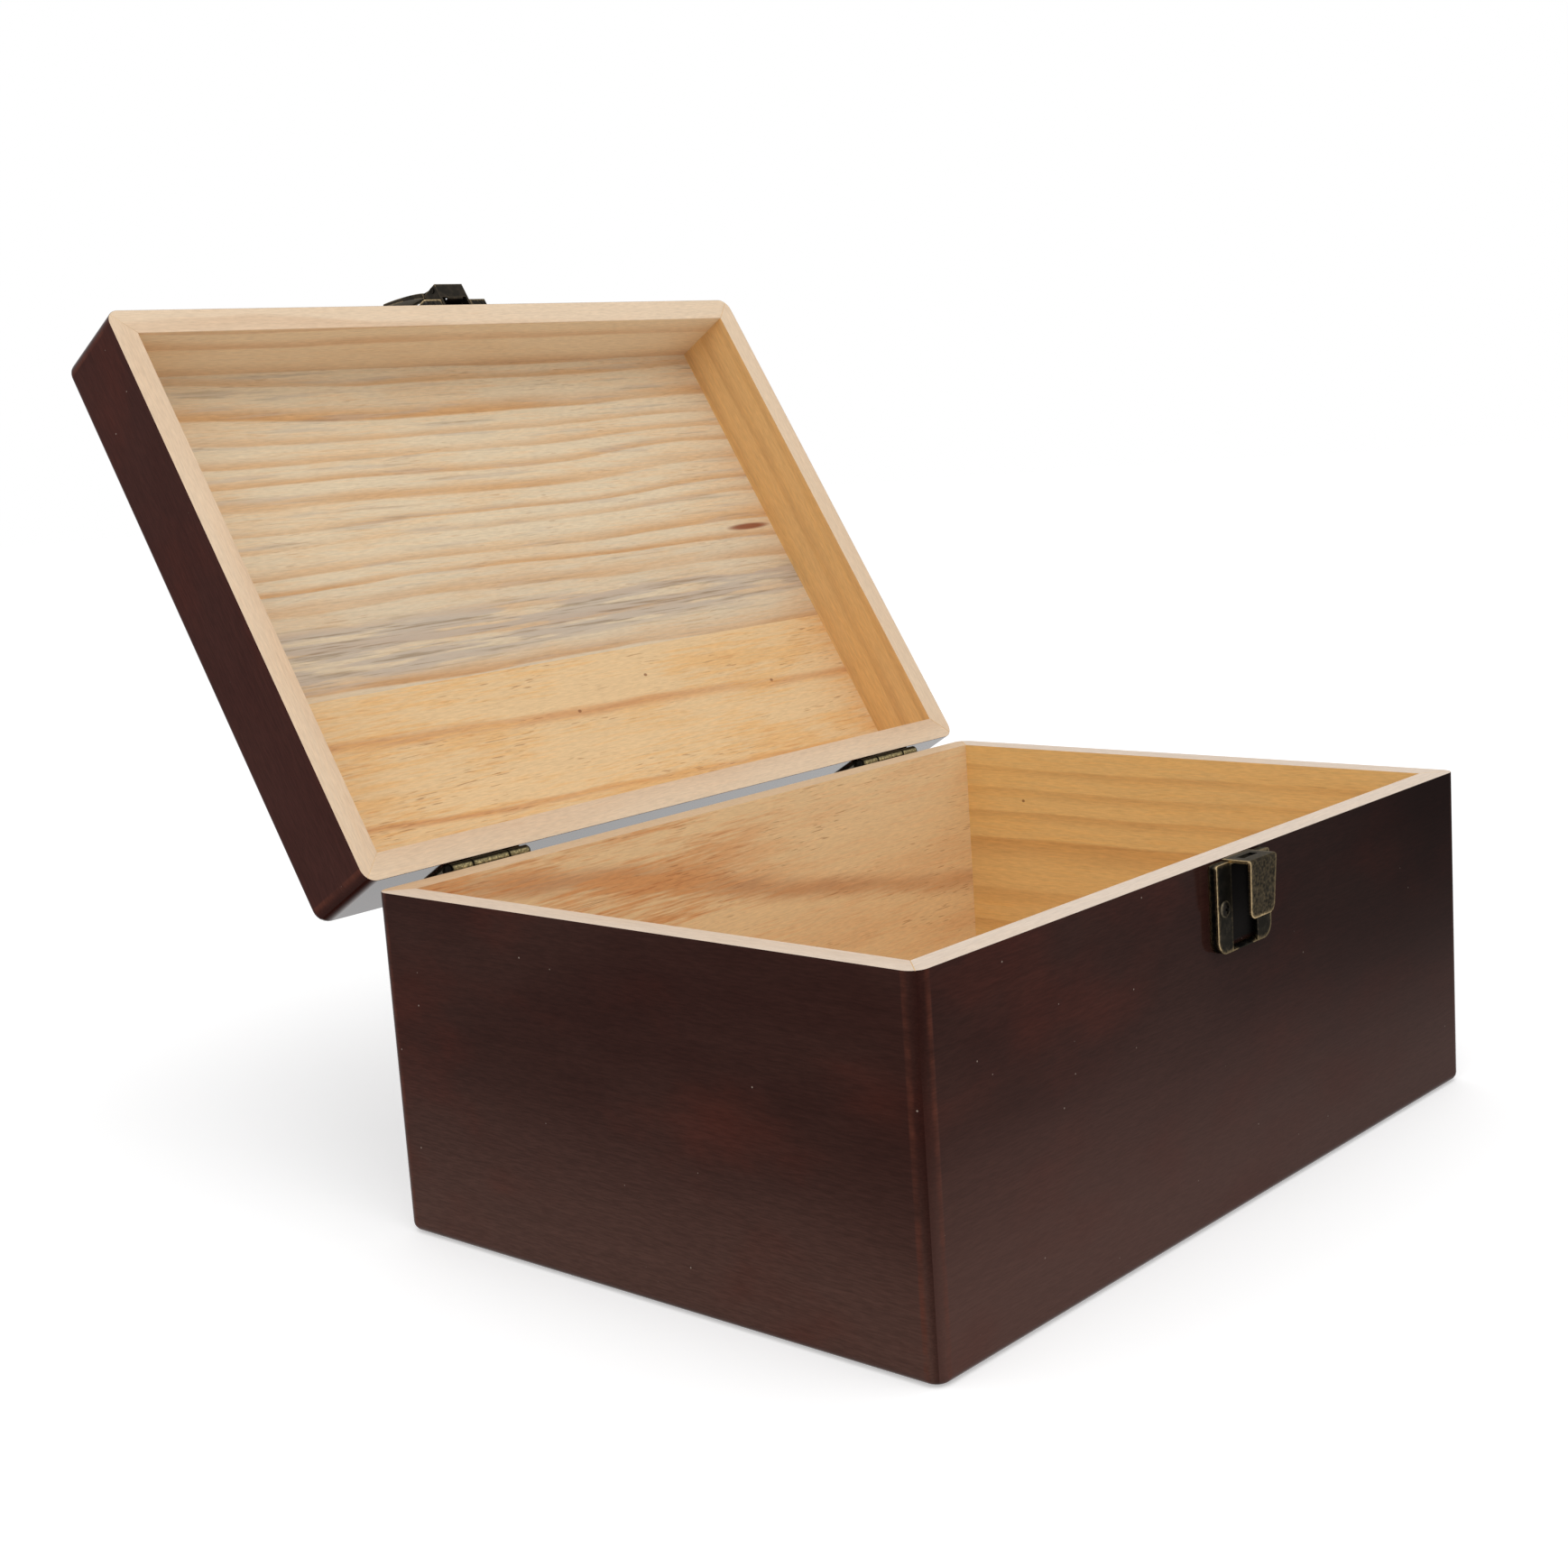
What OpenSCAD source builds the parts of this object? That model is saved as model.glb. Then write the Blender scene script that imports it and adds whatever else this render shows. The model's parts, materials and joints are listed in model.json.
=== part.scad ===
// Hinged wooden keepsake box with a duckbill latch, shown with its lid standing open.
// Origin: middle of the underside of the base. +X runs along the hinges, the latch is
// on the -Y side, +Z is up. All sizes are in millimetres.

/* [Box] */
// Outside length along the hinged side
box_w = 300; // [240:1:420]
// Outside depth from front to back
box_d = 212.7; // [150:0.1:300]
// Height of the base walls
base_h = 109.75; // [70:0.25:180]
// Height of the lid walls
lid_h = 33; // [32:0.5:60]
// Thickness of the eight walls
wall_t = 9; // [8:0.5:14]
// Radius of the upright corners
corner_r = 5; // [3.5:0.5:8]
// Rounding under the base and around the top of the lid
edge_r = 3; // [1:0.5:3]
// Gap between the two rims when the lid is shut
rim_gap = 0.25; // [0.15:0.05:0.5]
// Thickness of the bottom panel
bottom_t = 5; // [4:0.5:9]
// Thickness of the lid panel
top_t = 6; // [4:0.5:9]
// Width of the rebate that a panel is glued into
rebate = 4; // [2:0.5:4.5]
// Angle at which the lid stands open on its stops
open_angle = 120.9; // [100:0.1:125]
// How far all the hardware sits to the right of the middle
hardware_shift = 1.9; // [-5:0.1:5]

/* [Hinges] */
// Distance from each end of the box to the middle of its hinge
hinge_inset = 46.7; // [35:0.1:80]
// Length of a hinge leaf
leaf_l = 33; // [31:0.5:50]
// Height of a hinge leaf
leaf_h = 15; // [13:0.5:20]
// Sheet thickness of a hinge leaf
leaf_t = 1; // [0.8:0.1:1.3]
// Radius of the leaf corners away from the pin
leaf_r = 2; // [1:0.5:3]
// Length of the hinge barrel
barrel_l = 33; // [28:0.5:34]
// Outside radius of the hinge barrel
barrel_r = 1.9; // [1.6:0.05:2]
// Length of each end knuckle
end_knuckle_l = 8.6; // [6:0.1:10]
// Distance of the hinge pin from the back face
hinge_out = 2.45; // [2.3:0.05:3]
// Radius of the hinge pin
hinge_pin_r = 0.9; // [0.7:0.05:1]
// Reach of the stop heel behind the pin
heel_out = 3.6; // [3.2:0.1:4.5]
// Distance from a hinge's middle to its screws
hinge_screw_x = 12; // [9:0.5:14]
// Distance from the pin to the hinge screws
hinge_screw_z = 9; // [7:0.5:10]

/* [Screws] */
// Shank radius of the hinge screws
hinge_screw_r = 1.05; // [0.8:0.05:1.3]
// Head radius of the hinge screws
hinge_head_r = 2.1; // [1.8:0.1:2.6]
// How far every screw reaches into the wood
screw_depth = 6; // [4:0.5:7]
// Shank radius of the latch screws
latch_screw_r = 1.2; // [1:0.05:1.5]
// Head radius of the latch screws
latch_head_r = 2.6; // [2.2:0.1:3]
// Head height of the latch screws
latch_head_h = 1.1; // [0.8:0.1:1.4]

/* [Latch plates] */
// Width of the two pressed plates
plate_w = 30.4; // [29:0.1:38]
// Height of the two pressed plates
plate_h = 27; // [24:0.1:29]
// How far the plates stand off the wood
plate_rise = 2.9; // [2.4:0.05:3.2]
// Sheet thickness of the plates, the hook and the housing
sheet = 0.9; // [0.7:0.05:1]
// Radius of the plate corners next to the rim
plate_r_rim = 1; // [0.5:0.1:2]
// Radius of the plate corners away from the rim
plate_r_far = 4.5; // [2:0.5:5]
// Gap between the rim and the edge of a plate
plate_inset = 0.7; // [0.5:0.05:1.5]
// Distance from the latch middle to its screws
latch_screw_x = 11.2; // [11:0.1:12]
// Width of the window in the catch plate
window_w = 14; // [13:0.5:15]

/* [Hook] */
// Width of the hook
hook_w = 15; // [13.5:0.5:15.5]
// Distance from the wood to the outer face of the hook
hook_out = 9.7; // [8.8:0.1:11]
// Distance from the rim to the lower end of the hook
hook_drop = 17.8; // [14:0.1:20]
// Width of the hook at its lower end
hook_low_w = 13.4; // [11:0.1:15]
// Inward lean of the hanging part of the hook in degrees
hook_lean = 2.5; // [0:0.5:4]
// Distance from the rim down to the top of the hook
hook_top = 0.15; // [0.1:0.05:0.3]
// Radius of the two lower corners of the hook
hook_r = 2.6; // [1:0.1:4]
// Width of the slot for the claw
slot_w = 8; // [6:0.1:10]

/* [Lever] */
// Width across the housing
housing_w = 13.5; // [12.5:0.5:13.5]
// Height of the housing above the wood
housing_h = 9.7; // [9.5:0.1:11]
// Length of the housing away from the rim
housing_l = 7.5; // [7:0.1:8]
// Radius of the lever pin
lever_pin_r = 0.75; // [0.6:0.05:0.85]
// Radius of the lever barrel
lever_barrel_r = 1.2; // [1.1:0.05:1.25]
// Distance from the lid rim to the lever pin
lever_pin_z = 3; // [2.9:0.05:3.3]
// Distance from the wood to the lever pin
lever_pin_out = 8.4; // [8.2:0.05:8.5]
// Radius of the claw along its middle
claw_r = 5.8; // [5.6:0.05:5.9]
// Thickness of the claw
claw_t = 0.7; // [0.5:0.05:0.8]
// Free space around the claw in its slot
claw_gap = 0.25; // [0.2:0.01:0.3]
// Radius of the long curve of the bill
bill_r = 85; // [75:1:100]
// Slope of the bill where it leaves the housing
bill_slope = 33; // [31:1:35]
// Length of the bill measured along the lid
bill_l = 23.5; // [18:0.5:25]
// Least half width of the bill
bill_waist = 5.5; // [5:0.1:6]

/* [Hidden] */
$fn = 64;
EPS = 0.01;
FIT = 0.05;              // play around a screw shank
RUN = 0.06;              // radial play around a turning pin
SIDE = 0.3;              // play beside a turning piece
KNUCKLE_GAP = 0.3;
RECESS_W = 0.6;          // cross recess in a screw head
RECESS_D = 0.6;
LEAF_END_R = 0.8;
BILL_STEPS = 24;
BEND_STEPS = 10;

hw = box_w / 2;
hd = box_d / 2;
lid_rim = base_h + rim_gap;
lid_top = lid_rim + lid_h;
hinge_x = hw - hinge_inset;
hinge_y = hd + hinge_out;
hinge_z = base_h + rim_gap / 2;
leaf_face = hinge_out - leaf_t;
mid_knuckle_l = barrel_l - 2 * end_knuckle_l - 2 * KNUCKLE_GAP;
notch = barrel_r + SIDE;
head_depth = hinge_head_r - hinge_screw_r;
plate_mid = plate_inset + plate_h / 2;
cheek_in = housing_w / 2 - sheet;
lever_half = cheek_in - SIDE;
claw_w = slot_w - 0.8;
claw_in = claw_r - claw_t / 2;
claw_out = claw_r + claw_t / 2;
// Depth below the lid rim of the upper and lower faces of the hook bridge
bridge_hi = rim_gap + hook_top;
bridge_lo = bridge_hi + sheet;
housing_near = plate_inset - 0.2;
// Distance from the wood of a circle about the lever pin, at depth z below the lid rim
function arc_out(r, z) = lever_pin_out - sqrt(pow(r, 2) - pow(lever_pin_z + z, 2));
// The slot and the wall over it clear both faces of the claw as it swings
slot_near = arc_out(claw_out + claw_gap, bridge_hi);
slot_far = arc_out(claw_in - claw_gap, bridge_lo);
// The claw ends level with the lid rim while the lever is raised
claw_rest = 0.1 - lever_pin_z;
near_wall_low = arc_out(claw_in - claw_gap, -housing_near);
// Start of the bill, measured from the lever pin along the lid and away from it
bill_z = housing_near + housing_l + 0.5 - lever_pin_z;
bill_out = 2.8;
bill_cz = bill_z + bill_r * sin(bill_slope);
bill_co = bill_out - bill_r * cos(bill_slope);
bill_lip_shift = 2.73;
bill_lip_r = bill_r - 0.44;
// Radius about the pin that the inner corner of the bill sweeps past the cheeks
lip_out = bill_co + sqrt(pow(bill_lip_r, 2) - pow(bill_cz + bill_lip_shift - bill_z, 2));
cheek_r = norm([lip_out, bill_z]) - SIDE;

// Placing

// Swings what is drawn for the shut lid up to the open position.
module lid_open() {
    translate([0, hinge_y, hinge_z])
        rotate([-open_angle, 0, 0])
            translate([0, -hinge_y, -hinge_z])
                children();
}

// Puts a piece on the front face: +X to the right, -Y outward, Z from the given rim.
module at_front(rim) {
    translate([hardware_shift, -hd, rim])
        children();
}

// Puts a piece on a hinge axis; side is -1 for the left hinge and 1 for the right.
module at_hinge(side) {
    translate([hardware_shift + side * hinge_x, hinge_y, hinge_z])
        children();
}

// Extrudes a profile drawn as (distance outward, height) along X, centred.
module along_front(w) {
    rotate([90, 0, -90])
        linear_extrude(w, center = true)
            children();
}

// Extrudes a profile drawn as (y, z) along X, centred.
module along_x(w) {
    rotate([90, 0, 90])
        linear_extrude(w, center = true)
            children();
}

// Extrudes a shape drawn as (x, z) outward from the front face, from out by t.
module outward(out, t) {
    translate([0, -out, 0])
        rotate([90, 0, 0])
            linear_extrude(t)
                children();
}

module rod(r, l) {
    rotate([0, 90, 0])
        cylinder(r = r, h = l, center = true);
}

// Wooden parts

// Rectangle with rounded corners, its upper edge on y = 0.
module plate_shape(w, h, r_up, r_low) {
    translate([-w / 2 + r_low, -h])
        square([w - 2 * r_low, r_low + EPS]);
    translate([-w / 2, -h + r_low])
        square([w, h - r_low - r_up]);
    translate([-w / 2 + r_up, -r_up - EPS])
        square([w - 2 * r_up, r_up + EPS]);
    for (s = [-1, 1]) {
        translate([s * (w / 2 - r_low), -h + r_low])
            circle(r_low);
        translate([s * (w / 2 - r_up), -r_up])
            circle(r_up);
    }
}

// Half of a block's outline: plain at the top, rounded at the bottom edge.
module edge_profile(half, h, inner) {
    translate([inner, edge_r])
        square([half - inner, h - edge_r]);
    translate([inner, 0])
        square([half - edge_r - inner, edge_r + EPS]);
    intersection() {
        translate([half - edge_r, edge_r])
            circle(edge_r);
        translate([inner, 0])
            square([half - inner, 2 * edge_r]);
    }
}

// Block with round upright corners and a rounded lower edge.
module rounded_block(h) {
    for (x = [-1, 1], y = [-1, 1])
        translate([x * (hw - corner_r), y * (hd - corner_r), 0])
            rotate_extrude()
                edge_profile(corner_r, h, 0);
    rotate([90, 0, 0])
        linear_extrude(box_d - 2 * corner_r, center = true)
            for (m = [0, 1])
                mirror([m, 0])
                    edge_profile(hw, h, 0);
    rotate([90, 0, 90])
        linear_extrude(box_w - 2 * corner_r, center = true)
            for (m = [0, 1])
                mirror([m, 0])
                    edge_profile(hd, h, 0);
}

// Four mitred walls as one frame, open at the top, with a rebate for its panel below.
module frame(h, panel_t) {
    difference() {
        rounded_block(h);
        translate([0, 0, h / 2])
            cube([box_w - 2 * wall_t, box_d - 2 * wall_t, h + 2], center = true);
        translate([0, 0, panel_t / 2 - 0.5])
            cube([panel_w(), panel_d(), panel_t + 1], center = true);
    }
}

function panel_w() = box_w - 2 * (wall_t - rebate);
function panel_d() = box_d - 2 * (wall_t - rebate);

// Quarter of the plan between two 45 degree mitres: 0 front, 1 right, 2 back, 3 left.
module mitre(side, h) {
    span = side % 2 == 0 ? hw : hd;
    far = side % 2 == 0 ? hd : hw;
    reach = 2 * wall_t;
    rotate([0, 0, 90 * side])
        translate([0, 0, -1])
            linear_extrude(h + 2)
                polygon([
                    [-span - 1, -far - 1], [span + 1, -far - 1],
                    [span - reach, -far + reach], [-span + reach, -far + reach]
                ]);
}

module base_wall(side) {
    color("#3c221d")
        difference() {
            intersection() {
                frame(base_h, bottom_t);
                mitre(side, base_h);
            }
            if (side == 0)
                at_front(base_h)
                    latch_screw_sites(-1)
                        screw_bore(latch_screw_r);
            if (side == 2)
                hinge_screw_sites(-1)
                    screw_bore(hinge_screw_r);
        }
}

// The lid frame is the base frame turned upside down onto the base.
module lid_wall(side) {
    lid_open()
        color("#3c221d")
            difference() {
                translate([0, 0, lid_top])
                    mirror([0, 0, 1])
                        intersection() {
                            frame(lid_h, top_t);
                            mitre(side, lid_h);
                        }
                if (side == 0)
                    at_front(lid_rim)
                        latch_screw_sites(1)
                            screw_bore(latch_screw_r);
                if (side == 2)
                    hinge_screw_sites(1)
                        screw_bore(hinge_screw_r);
            }
}

module base_front_wall() base_wall(0);
module base_right_wall() base_wall(1);
module base_back_wall() base_wall(2);
module base_left_wall() base_wall(3);
module lid_front_wall() lid_wall(0);
module lid_right_wall() lid_wall(1);
module lid_back_wall() lid_wall(2);
module lid_left_wall() lid_wall(3);

module bottom_panel() {
    color("#d9b98a")
        translate([0, 0, bottom_t / 2])
            cube([panel_w(), panel_d(), bottom_t], center = true);
}

module lid_panel() {
    lid_open()
        color("#d9b98a")
            translate([0, 0, lid_top - top_t / 2])
                cube([panel_w(), panel_d(), top_t], center = true);
}

// Screws

// Hole in the wood for a screw whose seat is at the origin, running along +Y.
module screw_bore(r) {
    rotate([-90, 0, 0])
        translate([0, 0, -1])
            cylinder(r = r + FIT, h = screw_depth + FIT + 1);
}

// Two crossed slots sunk into a head whose top is at the origin, facing -Y.
module cross_recess(w, h = RECESS_D) {
    for (a = [0, 90])
        rotate([0, a, 0])
            cube([w, 2 * h, RECESS_W], center = true);
}

// Origins on the wood behind each latch screw; up is 1 on the lid and -1 on the base.
module latch_screw_sites(up) {
    for (s = [-1, 1])
        translate([s * latch_screw_x, 0, up * plate_mid])
            children();
}

// Origins on the wood behind each hinge screw, turned to run inward.
module hinge_screw_sites(up) {
    for (side = [-1, 1], s = [-1, 1])
        at_hinge(side)
            translate([s * hinge_screw_x, -hinge_out, up * hinge_screw_z])
                rotate([0, 0, 180])
                    children();
}

// Domed head on the plate, shank down into the wood.
module latch_screw() {
    dome = (pow(latch_head_r, 2) + pow(latch_head_h, 2)) / (2 * latch_head_h);
    difference() {
        union() {
            translate([0, -plate_rise, 0])
                rotate([90, 0, 0])
                    intersection() {
                        translate([0, 0, latch_head_h - dome])
                            sphere(dome);
                        cylinder(r = latch_head_r + 1, h = latch_head_h + 1);
                    }
            rotate([-90, 0, 0])
                translate([0, 0, -plate_rise - EPS])
                    cylinder(r = latch_screw_r, h = plate_rise + screw_depth + EPS);
        }
        translate([0, -plate_rise - latch_head_h, 0])
            cross_recess(2 * latch_head_r - 1.8);
    }
}

// Countersunk head flush with the leaf, shank down into the wood.
module hinge_screw() {
    difference() {
        rotate([-90, 0, 0])
            union() {
                translate([0, 0, -leaf_t])
                    cylinder(r1 = hinge_head_r, r2 = hinge_screw_r, h = head_depth);
                translate([0, 0, -leaf_t + head_depth - EPS])
                    cylinder(r = hinge_screw_r, h = leaf_t - head_depth + screw_depth + EPS);
            }
        translate([0, -leaf_t, 0])
            cross_recess(2 * hinge_head_r - 1.6);
    }
}

module base_hinge_screws() {
    color("#8d7a4d")
        hinge_screw_sites(-1)
            hinge_screw();
}

module lid_hinge_screws() {
    lid_open()
        color("#8d7a4d")
            hinge_screw_sites(1)
                hinge_screw();
}

module catch_screws() {
    color("#8d7a4d")
        at_front(base_h)
            latch_screw_sites(-1)
                latch_screw();
}

module latch_screws() {
    lid_open()
        color("#8d7a4d")
            at_front(lid_rim)
                latch_screw_sites(1)
                    latch_screw();
}

// Hinges

// One leaf below the pin axis, without its knuckles. gap_w and gap_x give the notches
// that clear the other leaf's knuckles.
module leaf_plate(gap_w, gap_x) {
    difference() {
        translate([0, -leaf_face, -rim_gap / 2])
            rotate([90, 0, 0])
                linear_extrude(leaf_t)
                    plate_shape(leaf_l, leaf_h, LEAF_END_R, leaf_r);
        for (x = gap_x)
            translate([x, -leaf_face - leaf_t / 2, 0])
                cube([gap_w, leaf_t + 1, 2 * notch], center = true);
        for (s = [-1, 1])
            translate([s * hinge_screw_x, -leaf_face, -hinge_screw_z])
                rotate([90, 0, 0])
                    union() {
                        translate([0, 0, -EPS])
                            cylinder(
                                r1 = hinge_head_r + FIT + EPS,
                                r2 = hinge_screw_r + FIT, h = head_depth + EPS);
                        cylinder(r = hinge_screw_r + FIT, h = leaf_t + 1);
                    }
    }
}

// Joins a leaf to the barrel under its own knuckles.
module neck_profile() {
    circle(barrel_r);
    polygon([
        [-hinge_out, -rim_gap / 2], [-hinge_out, -3], [-leaf_face, -3],
        [0, -barrel_r], [0, -rim_gap / 2]
    ]);
}

// Solid below each end knuckle that the lid leaf comes to rest on.
module heel_profile() {
    difference() {
        polygon([
            [-leaf_face - EPS, -4.8], [-leaf_face - EPS, -1], [0, 0], [barrel_r, 0.6],
            [heel_out, 0.6], [heel_out, -1.2], [0.4, -3.6]
        ]);
        rotate(-open_angle)
            translate([-leaf_face + FIT - 20, -20])
                square([20, 40]);
    }
}

end_knuckle_x = barrel_l / 2 - end_knuckle_l / 2;

module base_leaf() {
    color("#5a4a30")
        difference() {
            union() {
                leaf_plate(mid_knuckle_l + 2 * KNUCKLE_GAP, [0]);
                for (s = [-1, 1])
                    translate([s * end_knuckle_x, 0, 0])
                        along_x(end_knuckle_l) {
                            neck_profile();
                            heel_profile();
                        }
            }
            rod(hinge_pin_r, barrel_l + 1);
        }
}

module lid_leaf() {
    color("#5a4a30")
        mirror([0, 0, 1])
            difference() {
                union() {
                    leaf_plate(
                        end_knuckle_l + 2 * KNUCKLE_GAP, [-end_knuckle_x, end_knuckle_x]);
                    along_x(mid_knuckle_l)
                        neck_profile();
                }
                rod(hinge_pin_r + RUN, barrel_l + 1);
            }
}

module hinge_pin() {
    color("#8d7a4d") {
        rod(hinge_pin_r, barrel_l + 2 * EPS);
        for (s = [-1, 1])
            translate([s * (barrel_l / 2 + 0.3), 0, 0])
                rod(hinge_pin_r + 0.5, 0.6);
    }
}

module left_hinge_base_leaf() at_hinge(-1) base_leaf();
module left_hinge_lid_leaf() lid_open() at_hinge(-1) lid_leaf();
module left_hinge_pin() at_hinge(-1) hinge_pin();
module right_hinge_base_leaf() at_hinge(1) base_leaf();
module right_hinge_lid_leaf() lid_open() at_hinge(1) lid_leaf();
module right_hinge_pin() at_hinge(1) hinge_pin();

// Latch, base half

// Sheet pressing with its edges folded back to the wood, upper edge on z = 0.
module pressing() {
    difference() {
        outward(0, plate_rise)
            plate_shape(plate_w, plate_h, plate_r_rim, plate_r_far);
        translate([0, 0, -sheet])
            outward(-1, plate_rise - sheet + 1)
                plate_shape(
                    plate_w - 2 * sheet, plate_h - 2 * sheet,
                    max(plate_r_rim - sheet, 0.1), plate_r_far - sheet);
        for (s = [-1, 1])
            translate([s * latch_screw_x, 0, -plate_h / 2])
                rotate([90, 0, 0])
                    cylinder(r = latch_screw_r + FIT, h = plate_rise + 1);
    }
}

// Front view of the hook, with the top of its hanging part on y = 0. The sides of that
// part run together and end in two corners tangent to them.
module hook_front(h) {
    lean = atan((hook_w - hook_low_w) / (2 * h));
    cx = hook_low_w / 2 - hook_r * (1 - sin(lean)) / cos(lean);
    side = [cx + hook_r * cos(lean), -h + hook_r * (1 - sin(lean))];
    polygon([
        [-hook_w / 2, h], [-hook_w / 2, 0], [-side[0], side[1]], [-cx, -h],
        [cx, -h], side, [hook_w / 2, 0], [hook_w / 2, h]
    ]);
    for (s = [-1, 1])
        translate([s * cx, -h + hook_r])
            circle(hook_r);
}

// Side view of the hook as (distance outward, height): bridge, bend and hanging part.
module hook_side(h) {
    bend = hook_out - sheet;
    down = h * [-tan(hook_lean), -1];
    bend_to = [for (i = [0:BEND_STEPS])
        let(a = -hook_lean + (90 + hook_lean) * i / BEND_STEPS)
            [bend, 0] + sheet * [cos(a), sin(a)]];
    polygon(concat(
        [[0, sheet], [0, 0], [bend, 0], [bend, 0] + down, bend_to[0] + down],
        bend_to));
}

// The tongue bent out of the window: a flat bridge with a slot, then a tab hanging down.
module hook() {
    bridge = hook_top + sheet;
    difference() {
        translate([0, 0, -bridge])
            intersection() {
                along_front(hook_w + 1)
                    hook_side(hook_drop);
                outward(-1, hook_out + 2)
                    hook_front(hook_drop - bridge);
            }
        translate([-slot_w / 2, -slot_far, -bridge - 1])
            cube([slot_w, slot_far - slot_near, sheet + 2]);
    }
}

module catch_plate() {
    window_top = -plate_inset - sheet;
    window_low = -plate_inset - plate_h + sheet + 0.05;
    color("#45392a")
        at_front(base_h) {
            difference() {
                translate([0, 0, -plate_inset])
                    pressing();
                along_front(window_w)
                    polygon([
                        [-1, window_low], [plate_rise - 1.4, window_low],
                        [plate_rise, window_low - 0.6], [plate_rise + 1, window_low - 0.6],
                        [plate_rise + 1, window_top], [-1, window_top]
                    ]);
            }
            hook();
        }
}

// Latch, lid half

module latch_plate() {
    opening_h = 13;
    lid_open()
        color("#45392a")
            at_front(lid_rim)
                difference() {
                    translate([0, 0, plate_inset])
                        mirror([0, 0, 1])
                            pressing();
                    translate([-housing_w / 2 - 0.25, -plate_rise - 1, -1])
                        cube([housing_w + 0.5, plate_rise + 2, opening_h + 1]);
                }
}

// Side of the housing, hollowed at its far end where the edge of the bill swings down.
module cheek_profile() {
    difference() {
        translate([0, housing_near])
            square([housing_h, housing_l]);
        difference() {
            translate([lever_pin_out - cheek_r + 0.9, lever_pin_z])
                square([housing_h, housing_l]);
            translate([lever_pin_out, lever_pin_z])
                circle(cheek_r);
        }
    }
}

// Bent bracket: two cheeks that carry the pin, a wall across their rim end, and two feet
// that lie under the plate and share its screws.
module latch_housing() {
    foot = latch_screw_x + 2.4;
    lid_open()
        color("#45392a")
            at_front(lid_rim)
                difference() {
                    union() {
                        for (s = [-1, 1])
                            translate([s * (housing_w / 2 - sheet / 2), 0, 0])
                                along_front(sheet)
                                    cheek_profile();
                        translate([-housing_w / 2, -housing_h, housing_near])
                            cube([housing_w, housing_h - near_wall_low, sheet]);
                        for (m = [0, 1])
                            mirror([m, 0, 0])
                                translate([cheek_in, -sheet, housing_near + 2.5])
                                    cube([foot - cheek_in, sheet, plate_mid - housing_near]);
                    }
                    translate([0, -lever_pin_out, lever_pin_z])
                        rod(lever_pin_r, housing_w + 1);
                    latch_screw_sites(1)
                        rotate([90, 0, 0])
                            cylinder(r = latch_screw_r + FIT, h = 4, center = true);
                }
}

module lever_pin() {
    lid_open()
        color("#8d7a4d")
            at_front(lid_rim)
                translate([0, -lever_pin_out, lever_pin_z]) {
                    rod(lever_pin_r, housing_w + 2 * EPS);
                    for (s = [-1, 1])
                        translate([s * (housing_w / 2 + 0.15), 0, 0])
                            rod(lever_pin_r + 0.35, 0.3);
                }
}

// Half width of the bill along its length, s from 0 at the housing to 1 at the tip.
function bill_half(s, edge) =
    (housing_w / 2 - (housing_w / 2 - bill_waist) * sin(235 * s) - edge)
    * (s < 0.86 ? 1 : sqrt(max(0, 1 - pow((s - 0.86) / (0.145 - edge / 25), 2))));

// Plan of the bill seen from outside, drawn as (x, distance from the pin).
module bill_plan(edge) {
    half = [for (i = [0:BILL_STEPS]) let(s = i / BILL_STEPS) [bill_half(s, edge), s * bill_l]];
    translate([0, bill_z])
        polygon(concat(
            [[half[0][0], -2 * (edge > 0 ? 1 : 0)]],
            half,
            [for (i = [BILL_STEPS:-1:0]) [-half[i][0], half[i][1]]],
            [[-half[0][0], -2 * (edge > 0 ? 1 : 0)]]
        ));
}

// Curved sheet with turned-down edges, in the frame of the lever pin.
module bill() {
    difference() {
        intersection() {
            outward(-20, 60)
                bill_plan(0);
            along_front(2 * housing_w)
                difference() {
                    translate([bill_co, bill_cz])
                        circle(bill_r, $fn = 256);
                    translate([bill_co, bill_cz + bill_lip_shift])
                        circle(bill_lip_r, $fn = 256);
                }
        }
        intersection() {
            outward(-20, 60)
                bill_plan(sheet);
            along_front(2 * housing_w)
                translate([bill_co, bill_cz])
                    circle(bill_r - sheet, $fn = 256);
        }
    }
}

// Ring sector that slides through the slot of the hook.
module claw_profile() {
    intersection() {
        difference() {
            circle(claw_out);
            circle(claw_in);
        }
        polygon([
            [0, 0],
            [-claw_in * 0.7, claw_rest],
            [-2 * claw_r, claw_rest],
            [-2 * claw_r, 2 * claw_r],
            [0.6 * claw_r, 2 * claw_r]
        ]);
    }
}

module duckbill_lever() {
    lid_open()
        color("#45392a")
            at_front(lid_rim)
                translate([0, -lever_pin_out, lever_pin_z])
                    difference() {
                        union() {
                            rod(lever_barrel_r, 2 * lever_half);
                            along_front(claw_w)
                                claw_profile();
                            along_front(2 * lever_half)
                                polygon([
                                    [lever_barrel_r - EPS, -0.3],
                                    [bill_out - EPS, bill_z],
                                    [bill_out - 0.6, bill_z + 0.8],
                                    [bill_out - 1.3, bill_z + 0.1],
                                    [-0.3, 1]
                                ]);
                            bill();
                        }
                        rod(lever_pin_r + RUN, housing_w);
                    }
}

base_front_wall();
base_back_wall();
base_left_wall();
base_right_wall();
bottom_panel();
lid_front_wall();
lid_back_wall();
lid_left_wall();
lid_right_wall();
lid_panel();
left_hinge_base_leaf();
left_hinge_lid_leaf();
left_hinge_pin();
right_hinge_base_leaf();
right_hinge_lid_leaf();
right_hinge_pin();
base_hinge_screws();
lid_hinge_screws();
catch_plate();
catch_screws();
latch_plate();
latch_housing();
latch_screws();
lever_pin();
duckbill_lever();
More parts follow.
